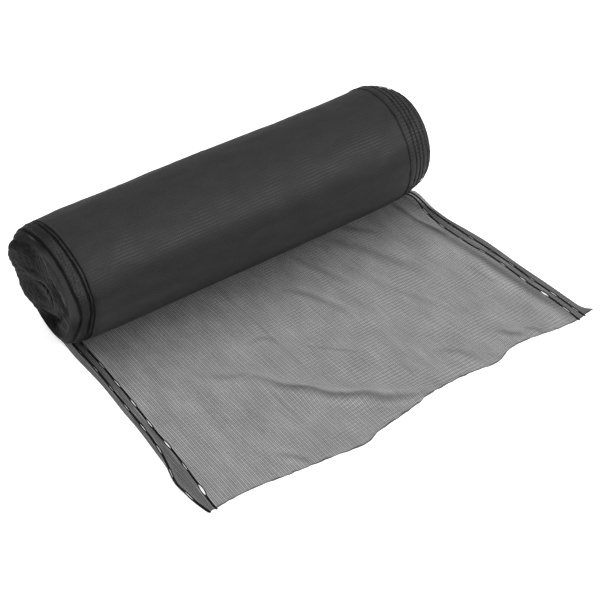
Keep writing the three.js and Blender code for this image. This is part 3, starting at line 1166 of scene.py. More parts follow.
    eyelets: dict[BandPlace, EyeletRow] = field(default_factory=lambda: {
        BandPlace.LEFT_OUTER: EyeletRow(0.084, 0.078, (0.25, 0.30, 0.25, 0.30, 0.40, 0.35, 0.25, 0.35)),
        BandPlace.LEFT_INNER: EyeletRow(0.078, 0.079, (0.30, 0.35, 0.45, 0.50, 0.45, 0.65, 0.35, 1.15)),
        BandPlace.RIGHT_INNER: EyeletRow(0.1454, 0.0734, (0.65, 0.60, 0.45, 0.60, 0.55, 0.75, 1.25, 0.70)),
        BandPlace.RIGHT_OUTER: EyeletRow(0.1592, 0.0732, (0.35, 0.40, 0.50, 0.40, 0.50, 0.45, 0.65, 0.55)),
    })
    start: float = 0.036
    fold_rise: float = 0.034
    descent: float = 0.110
    slit_length: float = 0.031
    ground_gap: float = 0.0003
    lifted_start: float = 0.004
    lift_range: tuple[float, float] = (0.002, 0.014)
    net_drop: float = 0.0030
    fold_gap: float = 0.002
    ragged: tuple[Grain, Grain] = (Grain(0.0008, 0.022, 1.0, 11), Grain(0.0004, 0.007, 1.0, 12))
    crease_wander: Grain = Grain(0.25, 0.25, 1.0, 21)
    flank_place: float = 2.4
    flank_share: float = 0.22
    crease_foot: float = 1.6

    def band_middle(self, place: BandPlace, run: np.ndarray) -> np.ndarray:
        """How far along X a band's middle line lies.

        Args:
            place: The band.
            run: The runs to read.

        Returns:
            The places along X.
        """
        rows = self.left if place in (BandPlace.LEFT_OUTER, BandPlace.LEFT_INNER) else self.right
        column = "outer" if place in (BandPlace.LEFT_OUTER, BandPlace.RIGHT_OUTER) else "inner"
        return read_rows(rows, "run", column, run)

    def end_run(self, x: np.ndarray) -> np.ndarray:
        """How far out the free edge lies, with the small raggedness of its cut."""
        coarse, fine = (grain.at(np.asarray(x)) for grain in self.ragged)
        return read_rows(self.free_edge, "x", "run", x) + (coarse + fine)

    def start_run(self, x: np.ndarray) -> np.ndarray:
        """Where the net starts: further under the roll where its ends are lifted."""
        lifted = soft_step(self.roll.underside(x), *self.lift_range)
        return self.start - (self.start - self.lifted_start) * lifted

    def opening(self, place: BandPlace, run: np.ndarray) -> np.ndarray:
        """How far a band's strands part at each run, from 0 to about 1.

        Args:
            place: The band.
            run: The runs to read.

        Returns:
            The share of a full eyelet's width.
        """
        row = self.eyelets[place]
        total = np.zeros(np.shape(run))
        for number, width in enumerate(row.widths):
            away = (run - row.first - number * row.pitch) / (self.slit_length / 2)
            total = total + width * np.clip(1 - away**2, 0, None) ** 0.7
        return total

    def crease_field(self, x: np.ndarray, run: np.ndarray) -> tuple[np.ndarray, np.ndarray]:
        """How much the creases bunch the knit and paint shade and light, and how high they stand.

        Args:
            x: Places across the net.
            run: Runs of the same places.

        Returns:
            The bunched knit with its painted crease shade and flank light, from about -0.1 to 1, and the
            height.
        """
        gather_and_painted_shade, height = np.zeros(np.shape(x)), np.zeros(np.shape(x))
        for crease in self.creases:
            away, share = from_line(np.array(crease.points), x, run)
            wander = 1 + self.crease_wander.at(share)
            fade = np.sqrt(np.clip(np.sin(math.pi * np.clip(share, 0.02, 0.98)), 0, 1))
            core = bell(away, crease.width * wander) * fade
            flank = bell(away - self.flank_place * crease.width, crease.width) * fade
            # The core closes the knit, partly as painted shade; the flanks open it as painted light.
            gather_and_painted_shade = gather_and_painted_shade + crease.gather_and_painted_shade * (core - self.flank_share * flank)
            height = height + crease.height * bell(away, self.crease_foot * crease.width) * fade
        return gather_and_painted_shade, height

    def height(self, x: np.ndarray, run: np.ndarray) -> np.ndarray:
        """How high the net's underside lies.

        Args:
            x: Places across the net.
            run: Runs of the same places.

        Returns:
            The height above the ground.
        """
        total = np.zeros(np.shape(x))
        for fold in self.folds:
            along_x, along_run = fold.x1 - fold.x0, fold.run1 - fold.run0
            share = ((x - fold.x0) * along_x + (run - fold.run0) * along_run) / (along_x**2 + along_run**2)
            held = np.clip(share, 0, 1)
            away = np.hypot(x - fold.x0 - held * along_x, run - fold.run0 - held * along_run)
            total = total + fold.height * bell(away, fold.spread)
        total = total + self.crease_field(x, run)[1]
        first = self.start + self.fold_gap
        total = total * soft_step(run, first, first + self.fold_rise)
        lifted = np.clip(self.roll.underside(x) - self.net_drop, 0, None)
        return self.ground_gap + total + lifted * (1 - soft_step(run, 0.0, self.descent))


@dataclass
class LooseNet:
    """The single layer of net laid out in front of the roll.

    Attributes:
        plan: Where it lies.
        thickness: How thick one layer is.
        rows: Steps from the roll to the free edge.
        main_columns: Steps across the wide middle.
        strip_columns: Steps across each strip beside the bands.
        slit_half: Half an eyelet's full opening, out to the middle of its strands.
        strip_gather: How much closer the knit is between and outside the bands.
        curl_rows: Steps round the curled cut edge.
        curl_radius: The curl's radius.
        curl_turn: How far the cut edge curls, in degrees.
        pull: How much opener the knit is along a band.
        pull_width: How wide that pulled line is.
        width: The net's full width; not used.
        length: The loose end's length; not used.
        beside: The first shares across the main panel, close to its bands.
        even_from: The share at which its even steps begin.
        pull_place: How far beside a band's middle the knit is pulled open.
        pull_breaks: How unevenly it is pulled along the band.
        pull_from: The runs between which the pulled lines begin.
        gather_limits: The least and the most of the bunched knit and its painted shade.
        curl_wobble: How unevenly the cut edge curls.
    """

    plan: LooseEndPlan
    thickness: float = 0.0007
    rows: int = 150
    main_columns: int = 196
    strip_columns: int = 7
    slit_half: float = 0.0029
    strip_gather: float = 0.48
    curl_rows: int = 6
    curl_radius: float = 0.0013
    curl_turn: float = 230.0
    pull: float = 0.5
    pull_width: float = 0.0022
    width: float = 1.0
    length: float = 0.69
    beside: tuple[float, ...] = (0.0, 0.0012, 0.0025, 0.0042, 0.007)
    even_from: float = 0.011
    pull_place: float = 0.0030
    pull_breaks: Grain = Grain(0.6, 0.12, 1.0, 31)
    pull_from: tuple[float, float] = (0.07, 0.16)
    gather_limits: tuple[float, float] = (-0.7, 0.85)
    curl_wobble: Grain = Grain(0.35, 0.05, 1.0, 41)

    def run_at(self, x: np.ndarray, share: np.ndarray) -> np.ndarray:
        """The run at a share of the way from the roll to the free edge."""
        start = self.plan.start_run(x)
        return start + share * (self.plan.end_run(x) - start)

    def side_rail(self, rows: tuple[SideRow, ...], share: np.ndarray) -> np.ndarray:
        """One of the net's own long edges.

        Args:
            rows: The table of that side.
            share: Shares of the way from the roll to the free edge.

        Returns:
            The places along X.
        """
        middle = read_rows(rows, "run", "edge", np.full(share.shape, 0.4))
        for _ in range(3):
            middle = read_rows(rows, "run", "edge", self.run_at(middle, share))
        return middle

    def band_rails(self, place: BandPlace, share: np.ndarray) -> tuple[np.ndarray, np.ndarray]:
        """The two sides of a band's slits, along X, at shares of its length.

        Args:
            place: The band.
            share: Shares of the way from the roll to the free edge.

        Returns:
            The left and the right side, equal where no slit is open.
        """
        middle = self.plan.band_middle(place, np.full(share.shape, 0.4))
        for _ in range(3):
            run = self.run_at(middle, share)
            middle = self.plan.band_middle(place, run)
        half = self.slit_half * self.plan.opening(place, run)
        return middle - half, middle + half

    def build(self, finish: bpy.types.Material) -> bpy.types.Object:
        """Makes the net, with its slits cut and its free edge curled.

        Args:
            finish: The see-through knit.

        Returns:
            The piece.
        """
        share = np.linspace(0, 1, self.rows + 1)
        bands = [self.band_rails(place, share) for place in BandPlace]
        rails = [self.side_rail(self.plan.left, share)]
        for left, right in bands:
            rails += [left, right]
        rails.append(self.side_rail(self.plan.right, share))
        columns: list[np.ndarray] = []
        places: list[np.ndarray] = []
        tie: list[tuple[int, int]] = []
        for panel in range(len(bands) + 1):
            steps = self.panel_steps(panel == len(bands) // 2)
            left, right = rails[2 * panel], rails[2 * panel + 1]
            if columns:
                tie.append((len(columns) - 1, len(columns)))
            for step in steps:
                columns.append(left + (right - left) * step)
                places.append(np.full(share.shape, panel + step))
        x = np.array(columns)
        run = self.run_at(x, share[None])
        index = np.arange(x.size).reshape(x.shape)
        for (before, after), (left, right) in zip(tie, bands):
            closed = right - left < 1e-6
            index[after, closed] = index[before, closed]
        marks = {"across": x, "along": run, "gather_and_painted_shade": self.gather_with_painted_shade(x, run, np.array(places))}
        points = np.stack([x, -run, self.plan.height(x, run)], -1)
        index, points, marks = self.with_curl(index, points, marks)
        used, renumbered = np.unique(index, return_inverse=True)
        quads = self.panel_quads(renumbered.reshape(index.shape), [after for _, after in tie])
        kept = {name: values[used] for name, values in marks.items()}
        form = thin_body(points[used], quads, self.thickness, kept)
        piece = form.piece("loose_net", finish, Slot.NET)
        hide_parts("net_sheet", "strip_left", "strip_right", "margin_left", "margin_right")
        return piece

    def panel_steps(self, main: bool) -> np.ndarray:
        """Shares across a panel, closer together beside the bands.

        Args:
            main: Whether it is the wide middle panel.

        Returns:
            The shares, from 0 to 1.
        """
        if not main:
            return np.linspace(0, 1, self.strip_columns + 1)
        beside = np.array(self.beside)
        middle = np.linspace(self.even_from, 1 - self.even_from, self.main_columns - 2 * len(beside) + 1)
        return np.concatenate([beside, middle, 1 - beside[::-1]])

    def gather_with_painted_shade(self, x: np.ndarray, run: np.ndarray, panel: np.ndarray) -> np.ndarray:
        """How much closer the knit lies than flat net at each point, with painted shade along the creases.

        Args:
            x: Places across the net.
            run: Runs of the same places.
            panel: The panel's number plus the share across it.

        Returns:
            The mark, below 0 where the knit is pulled open or painted lighter beside a crease.
        """
        main = len(BandPlace) // 2
        total = np.where((panel >= main) & (panel <= main + 1), 0.0, self.strip_gather)
        total = total + self.plan.crease_field(x, run)[0]
        for seed, place in enumerate(BandPlace, self.pull_breaks.seed):
            away = x - self.plan.band_middle(place, run)
            broken = 0.5 + self.pull_breaks._replace(seed=seed).at(run, np.sign(away) * 3)
            beside = bell(np.abs(away) - self.pull_place, self.pull_width) * np.clip(broken, 0, 1)
            total = total - self.pull * beside * soft_step(run, *self.pull_from)
        return np.clip(total, *self.gather_limits)

    def with_curl(
        self, index: np.ndarray, points: np.ndarray, marks: dict[str, np.ndarray],
    ) -> tuple[np.ndarray, np.ndarray, dict[str, np.ndarray]]:
        """Adds the rows that curl up along the free edge.

        Args:
            index: The grid of point numbers.
            points: The grid's points.
            marks: What is known at each point.

        Returns:
            The longer index, the points in one list and the marks in one list.
        """
        last = points[:, -1]
        flat_marks = {name: values.reshape(-1) for name, values in marks.items()}
        every = [points.reshape(-1, 3)]
        rows = [index]
        count = len(every[0])
        wobble = 1 + self.curl_wobble.at(last[:, 0])
        for row in range(1, self.curl_rows + 1):
            turn = math.radians(self.curl_turn) * row / self.curl_rows
            radius = self.curl_radius * wobble
            shift = np.stack([0 * radius, -radius * math.sin(turn), radius * (1 - math.cos(turn))], -1)
            every.append(last + shift)
            rows.append((count + np.arange(len(last)))[:, None])
            count += len(last)
            for name, values in marks.items():
                step = self.curl_radius * turn if name == "along" else 0.0
                flat_marks[name] = np.concatenate([flat_marks[name], values[:, -1] + step])
        return np.concatenate(rows, 1), np.concatenate(every), flat_marks

    @staticmethod
    def panel_quads(index: np.ndarray, breaks: list[int]) -> np.ndarray:
        """The quads of every panel, with none across a slit.

        Args:
            index: The whole grid of point numbers.
            breaks: The first column of each panel but the first.

        Returns:
            All the quads, anticlockwise from above.
        """
        edges = [0, *breaks, len(index)]
        return np.concatenate([grid_quads(index[a:b]) for a, b in zip(edges, edges[1:])])


@dataclass
class EyeletBand:
    """One black band: two strands that part around each slit eyelet.

    Attributes:
        place: Which band it is.
        plan: Where it lies.
        strand_half: Half the width of one strand.
        strand_rise: Half the height of one strand.
        part: How far each strand moves out at a full eyelet.
        stitch_pitch: From one stitch to the next.
        step: From one point to the next along the band.
        stub: How far the band sticks out past the free edge.
        lift: How high the strands' middle lies above the net's underside.
        run_from: About where the band leaves the roll.
        run_to: About where it ends.
        cover: How far after the net's start it begins.
        sides: How many points go round a strand.
        stitch_swell: How much its stitches swell its width and height, as shares.
        stitch_bulge: How far they move it to the side.
        taper: The length of its thinner end, and the share of its width that is left there.
    """

    place: BandPlace
    plan: LooseEndPlan
    strand_half: float = 0.0012
    strand_rise: float = 0.0008
    part: float = 0.0021
    stitch_pitch: float = 0.0032
    step: float = 0.0008
    stub: float = 0.0055
    lift: float = 0.0016
    run_from: float = 0.038
    run_to: float = 0.69
    cover: float = 0.012
    sides: int = 10
    stitch_swell: tuple[float, float] = (0.12, 0.15)
    stitch_bulge: float = 0.0001
    taper: tuple[float, float] = (0.002, 0.35)

    def build(self, finish: bpy.types.Material) -> bpy.types.Object:
        """Makes the band and sets it in its CAD node's place.

        Args:
            finish: The band's yarn.

        Returns:
            The piece.
        """
        start = float(self.plan.start_run(self.plan.band_middle(self.place, self.run_from))) + self.cover
        end = float(self.plan.end_run(float(self.plan.band_middle(self.place, self.run_to)))) + self.stub
        run = np.linspace(start, end, round((end - start) / self.step))
        middle = self.plan.band_middle(self.place, run)
        opening = self.plan.opening(self.place, run)
        upright = np.array([0.0, 0.0, 1.0])
        form: Form | None = None
        for side in (-1, 1):
            stitch = np.cos(TURN * run / self.stitch_pitch + (side + 1) * math.pi / 2)
            x = middle + side * (self.strand_half + self.part * opening + self.stitch_bulge * stitch)
            line = np.stack([x, -run, self.plan.height(x, run) + self.lift], -1)
            taper = np.clip((end - run) / self.taper[0], self.taper[1], 1)
            half_width = self.strand_half * (1 + self.stitch_swell[0] * stitch) * taper
            half_height = self.strand_rise * (1 + self.stitch_swell[1] * stitch) * taper
            made = strand(line, upright, half_width, half_height, run, self.sides, closed=False)
            form = made if form is None else form.merged(made)
        piece = form.piece(f"eyelet_{self.place.value}", finish, Slot.BAND)
        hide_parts(self.place.value)
        return piece


@dataclass
class WoundBand:
    """A band where it goes round the roll, as a closed ring of two strands.

    Attributes:
        name: The piece's name.
        bends: Where it lies along the roll, round it.
        roll: The roll that it lies on.
        width_share: How wide its eyelets stand open, as a share of a full one.
        first: The angle of its first eyelet.
        eyelets: How many eyelets go round.
        strand_half: Half the width of one strand.
        strand_rise: Half the height of one strand.
        part: How far each strand moves out at a full eyelet.
        slit_length: An eyelet's length.
        steps: Points round the ring.
        proud: How far the strands' middle stands out from the roll.
        shade: How much painted shade lies on the net beside it, from 0 to 1.
        wander: How far it wanders from its place.
        wander_waves: How often it does so round the roll.
        stitches: How many stitches go round.
        stitch_swell: How much they swell its strands, as a share.
        ground_gap: How far its underside stays above the ground.
        sides: How many points go round a strand.
    """

    name: str
    bends: tuple[RingRow, ...]
    roll: WoundTurns
    width_share: float
    first: float
    eyelets: int = 12
    strand_half: float = 0.0012
    strand_rise: float = 0.0008
    part: float = 0.0021
    slit_length: float = 0.028
    steps: int = 480
    proud: float = 0.0006
    shade: float = 0.4
    wander: float = 0.0009
    wander_waves: float = 1.3
    stitches: int = 280
    stitch_swell: float = 0.1
    ground_gap: float = 0.0002
    sides: int = 8

    def place(self, angle: np.ndarray) -> np.ndarray:
        """Where the ring's middle lies along X, at angles round the roll."""
        if len(self.bends) == 1:
            return np.full(np.shape(angle), self.bends[0].x)
        return read_rows(self.bends, "angle", "x", np.clip(np.degrees(angle), *self.reach()))

    def reach(self) -> tuple[float, float]:
        """The first and the last angle of the ring's table."""
        return self.bends[0].angle, self.bends[-1].angle

    def build(self, finish: bpy.types.Material) -> bpy.types.Object:
        """Makes the ring.

        Args:
            finish: The band's yarn.

        Returns:
            The piece.
        """
        angle = TURN * np.arange(self.steps) / self.steps - math.pi / 2
        radius = float(self.roll.read("radius", self.bends[0].x))
        along = angle * radius
        pitch = TURN / self.eyelets
        away = (angle - self.first + pitch / 2) % pitch - pitch / 2
        opening = self.width_share * np.clip(1 - (away * radius / (self.slit_length / 2)) ** 2, 0, None)
        seed = round(abs(self.bends[0].x) * 1000)
        across, upright = np.cos(angle) * self.wander_waves, np.sin(angle) * self.wander_waves
        wander = self.wander * uneven(across, upright, seed)
        outward = np.stack([0 * angle, np.cos(angle), np.sin(angle)], -1)
        form: Form | None = None
        for side in (-1, 1):
            x = self.place(angle) + wander + side * (self.strand_half + self.part * opening)
            line = self.roll.points(x, angle, self.proud)
            line[:, 2] = np.maximum(line[:, 2], self.strand_rise + self.ground_gap)
            stitch = np.cos(TURN * along / (TURN * radius / self.stitches) + (side + 1) * math.pi / 2)
            swell = 1 + self.stitch_swell * stitch
            half_width, half_height = self.strand_half * swell, self.strand_rise * swell
            made = strand(line, outward, half_width, half_height, along, self.sides, closed=True)
            form = made if form is None else form.merged(made)
        return form.piece(self.name, finish, Slot.BAND)


@dataclass
class RollSide:
    """The round side of the roll, between its two end windings.

    Attributes:
        roll: The roll's shape.
        rings: The bands that lie on it.
        left_seam: Where the left end's windings take over.
        right_seam: Where the right end's windings take over.
        finer: The places past which, to each side, the rings of points lie closer.
        steps: Rings of points in each of the three parts.
        around: Points round the roll.
        cap_depth: How far inside the seams its closed ends lie.
        girth: The radius by which distances round the roll are counted.
        left_girth: The same near the left end.
        right_girth: The same near the right end.
        dents: The unevenness of all of it.
        fuzz: The unevenness of the left end's rougher net.
        fuzz_from: The distances to the left between which that net begins.
        groove: How deep each band draws the net in.
        groove_half: Half that groove's width.
        lips: Where the net swells between bands, and how far.
        edges: Where the selvedge of a turn ends, and the step down beside it.
        edge_wander: How far that selvedge wanders.
        edge_half: Half the width of the step.
        gather_pitch: From one small gathered fold to the next round the right end.
        gather_from: The places between which the gathers begin.
        gather_height: How high they stand.
        gather_light: How much lighter their tops are painted, as a painted highlight.
        seam_fade: Over what length the fine forms begin at the left seam.
        specks: Where worn threads lie.
        lip: The lip between the bands, painted light in front and painted shade elsewhere, as distances to
            the left.
        lip_round: The angles between which its painted light lies.
        lip_lights: The painted light of its specks and its front, and its painted shade elsewhere.
        worn: The worn strip beside the lip, as distances to the left.
        worn_light: How light that strip's specks are.
        shadow: The dark strip beside it, as distances to the left.
        shadow_round: The angles between which it is dark.
        shadow_depth: How dark it is.
        shade_reach: How far beside a band the painted shade reaches, in halves of a strand's width.
        tongue_from: The distances to the left between which the left rim's painted light and shade begins.
        lights: The plain side's painted light and shade by angle round the roll.
        front_round: The angles between which the knots get a painted highlight.
        front_wander: How far those angles wander along the roll.
        front_to: The distances to the left between which that light ends.
    """

    roll: WoundTurns
    rings: list[WoundBand]
    left_seam: float = -0.5065
    right_seam: float = 0.5005
    finer: tuple[float, float] = (-0.440, 0.400)
    steps: tuple[int, int, int] = (70, 72, 78)
    around: int = 400
    cap_depth: float = 0.045
    girth: float = 0.15
    left_girth: float = 0.145
    right_girth: float = 0.147
    dents: tuple[Grain, Grain] = (Grain(0.0004, 0.11, 0.07, 51), Grain(0.00025, 0.03, 0.022, 52))
    fuzz: Grain = Grain(0.0005, 0.006, 0.008, 53, 9)
    fuzz_from: tuple[float, float] = (0.462, 0.474)
    groove: float = 0.0009
    groove_half: float = 0.0032
    lips: tuple[tuple[float, float, float], ...] = ((-0.4835, 0.0018, 0.007), (0.431, 0.0007, 0.006))
    edges: tuple[tuple[float, float], ...] = ((0.4495, 0.0008), (0.4795, 0.0008))
    edge_wander: float = 0.0012
    edge_half: float = 0.0004
    gather_pitch: float = 0.0097
    gather_from: tuple[float, float] = (0.405, 0.45)
    gather_height: float = 0.00045
    gather_light: float = 0.30
    seam_fade: float = 0.0025
    specks: Grain = Grain(1.0, 0.0052, 0.0052, 71, 9)
    lip: Stretch = Stretch(0.474, 0.480, 0.493, 0.498)
    lip_round: Stretch = Stretch(98, 112, 156, 174)
    lip_lights: tuple[float, float, float] = (0.95, 0.20, 0.32)
    worn: Stretch = Stretch(0.455, 0.462, 0.474, 0.480)
    worn_light: float = 0.45
    shadow: Stretch = Stretch(0.435, 0.462, 0.474, 0.480)
    shadow_round: Stretch = Stretch(160, 176, 216, 232)
    shadow_depth: float = 0.34
    shade_reach: float = 2.4
    tongue_from: tuple[float, float] = (0.5005, 0.504)
    lights: tuple[LightRow, ...] = tuple(LightRow(*row) for row in (
        (-90, 0.30), (40, -0.05), (66, -0.05), (80, 0.06), (95, 0.12), (118, 0.16), (135, 0.14), (150, 0.16),
        (159, -0.02), (168, -0.15), (177, 0.00), (188, 0.20), (200, 0.48), (225, 0.55), (270, 0.30),
    ))
    front_round: Stretch = Stretch(122, 142, 150, 162)
    front_wander: Grain = Grain(4.0, 0.12, 1.0, 55)
    front_to: tuple[float, float] = (0.42, 0.46)

    def proud(self, x: np.ndarray, angle: np.ndarray) -> np.ndarray:
        """How far the fine forms stand out from the smooth roll.

        Args:
            x: Places along the roll.
            angle: Angles round it.

        Returns:
            The height of the fine forms.
        """
        total = sum(dent.at(x, angle * self.girth) for dent in self.dents)
        for ring in self.rings:
            total = total - self.groove * bell(x - ring.place(angle), self.groove_half)
        for place, height, spread in self.lips:
            total = total + height * bell(x - place, spread)
        for place, step in self.edges:
            lean = uneven(np.cos(angle) * 1.5, np.sin(angle) * 1.5, round(place * 1e4))
            ragged = place + self.edge_wander * lean
            total = total - step * soft_step(x, ragged - self.edge_half, ragged + self.edge_half)
        total = total + soft_step(-x, *self.fuzz_from) * self.fuzz.at(x, angle * self.left_girth)
        height = self.gather_height * soft_step(x, *self.gather_from)
        total = total + height * (self.gathers(angle) * (0.6 + 0.4 * uneven(x / 0.02, angle * 2, 54)))
        return total * soft_step(x - self.left_seam, 0.0, self.seam_fade)

    def gathers(self, angle: np.ndarray) -> np.ndarray:
        """The small gathers round the right end, from -1 between them to 1 on top."""
        return np.cos(TURN * angle * self.right_girth / self.gather_pitch)

    def tone(self, x: np.ndarray, angle: np.ndarray) -> np.ndarray:
        """The side's painted light and shade, with its worn specks.

        Args:
            x: Places along the roll.
            angle: Angles round it.

        Returns:
            The mark of painted light and wear, below 0 where painted shade lies beside a band.
        """
        degrees = np.degrees(angle)
        specks = np.clip(self.specks.at(x, angle * self.left_girth), 0, None)
        # Painted light on the lip's front and its specks, painted shade on the rest of the lip.
        speck_light, front_light, dull = self.lip_lights
        front = self.lip_round.share(degrees) * (speck_light * specks + front_light)
        total = self.lip.share(-x) * (front - dull) + self.worn_light * self.worn.share(-x) * specks
        # The left rim's painted light and shade.
        total = total + soft_step(-x, *self.tongue_from) * tongue_light(angle)
        tucks = soft_step(x, *self.gather_from)
        plain = (1 - soft_step(-x, *self.fuzz_from)) * (1 - 0.6 * tucks)
        # Painted light and shade of the plain side by angle round the roll.
        total = total + plain * read_rows(self.lights, "angle", "light", degrees)
        # Painted shadow beside the lip's lower part.
        total = total - self.shadow_depth * self.shadow_round.share(degrees) * self.shadow.share(-x)
        # Painted highlights on the gathers' tops.
        total = total + self.gather_light * tucks * self.gathers(angle) + tucks * (0.6 * specks - 0.1)
        # Painted shade in the groove beside each band.
        for ring in self.rings:
            total = total - ring.shade * bell(x - ring.place(angle), self.shade_reach * ring.strand_half)
        return total

    def front(self, x: np.ndarray, angle: np.ndarray) -> np.ndarray:
        """Where the knots get a painted highlight along the roll's front, from 0 to 1."""
        degrees = np.degrees(angle) + self.front_wander.at(x)
        return self.front_round.share(degrees) * (1 - soft_step(-x, *self.front_to))

    def build(self, finish: bpy.types.Material) -> bpy.types.Object:
        """Makes the side as a closed body.

        Args:
            finish: The wound knit.

        Returns:
            The piece.
        """
        roll = self.roll
        stops = (self.left_seam, *self.finer, self.right_seam)
        parts = [roll.stations(*part) for part in zip(stops, stops[1:], self.steps)]
        places = np.concatenate([parts[0], parts[1][1:], parts[2][1:]])
        angle = TURN * np.arange(self.around) / self.around - math.pi / 2
        x, turn = np.meshgrid(places, angle, indexing="ij")
        side = roll.points(x, turn, self.proud(x, turn))
        left_cap = end_cap(side[0], self.cap_depth)
        right_cap = end_cap(side[-1], -self.cap_depth)
        points = np.concatenate([side.reshape(-1, 3), left_cap, right_cap])
        index = ring_index(len(places), self.around)
        first = index[-1, 0] + self.around
        left = cap_faces(index[0], first, len(left_cap), self.around, outward=True)
        right = cap_faces(index[-1], first + len(left_cap), len(right_cap), self.around, outward=False)
        faces = grid_quads(index)[:, ::-1].tolist() + left + right
        extra = np.zeros(len(left_cap) + len(right_cap))
        marks = {
            "across": np.append(x, extra),
            "along": np.append(turn * self.girth, extra),
            "painted_light_and_wear": np.append(self.tone(x, turn), extra),
            "front": np.append(self.front(x, turn), extra),
        }
        piece = Form(points, faces, marks, len(left) + len(right)).piece("roll_side", finish, Slot.NET)
        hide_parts("net_roll")
        return piece


def end_cap(ring: np.ndarray, inward: float) -> np.ndarray:
    """Points that close a ring: a smaller ring a little further in, and its middle.

    Args:
        ring: The ring's points.
        inward: How far along X the cap lies from it.

    Returns:
        The smaller ring's points and the middle point.
    """
    middle = ring.mean(0)
    shift = np.array([inward, 0.0, 0.0])
    return np.concatenate([middle + (ring - middle) * 0.85 + shift, (middle + shift)[None]])


def cap_faces(rim: np.ndarray, first: int, count: int, around: int, outward: bool) -> list[list[int]]:
    """The faces between a ring, its smaller ring and their middle.

    Args:
        rim: The ring's point numbers, with the first repeated at the end.
        first: The number of the cap's first point.
        count: How many points the cap has.
        around: How many points the ring has.
        outward: Whether the faces turn to -X rather than +X.

    Returns:
        The faces.
    """
    inner = first + np.arange(count - 1)
    inner = np.concatenate([inner, inner[:1]])
    middle = first + count - 1
    faces = []
    for i in range(around):
        band = [int(rim[i]), int(rim[i + 1]), int(inner[i + 1]), int(inner[i])]
        fan = [int(inner[i]), int(inner[i + 1]), middle]
        faces += [band, fan] if outward else [band[::-1], fan[::-1]]
    return faces


def tongue_light(angle: np.ndarray) -> np.ndarray:
    """The painted light and shade of the outermost turns' tongue round the left end's rim.

    Args:
        angle: Angles round the roll.

    Returns:
        The mark there: painted shade at the top, painted light in front, deeper painted shade below.
    """
    degrees = np.degrees(angle)
    return -0.50 + 0.75 * soft_step(degrees, 106, 122) - 0.85 * soft_step(degrees, 174, 198)


class RollEnd(Enum):
    """The two ends of the roll, by the direction that each faces along X."""

    LEFT = -1
    RIGHT = 1


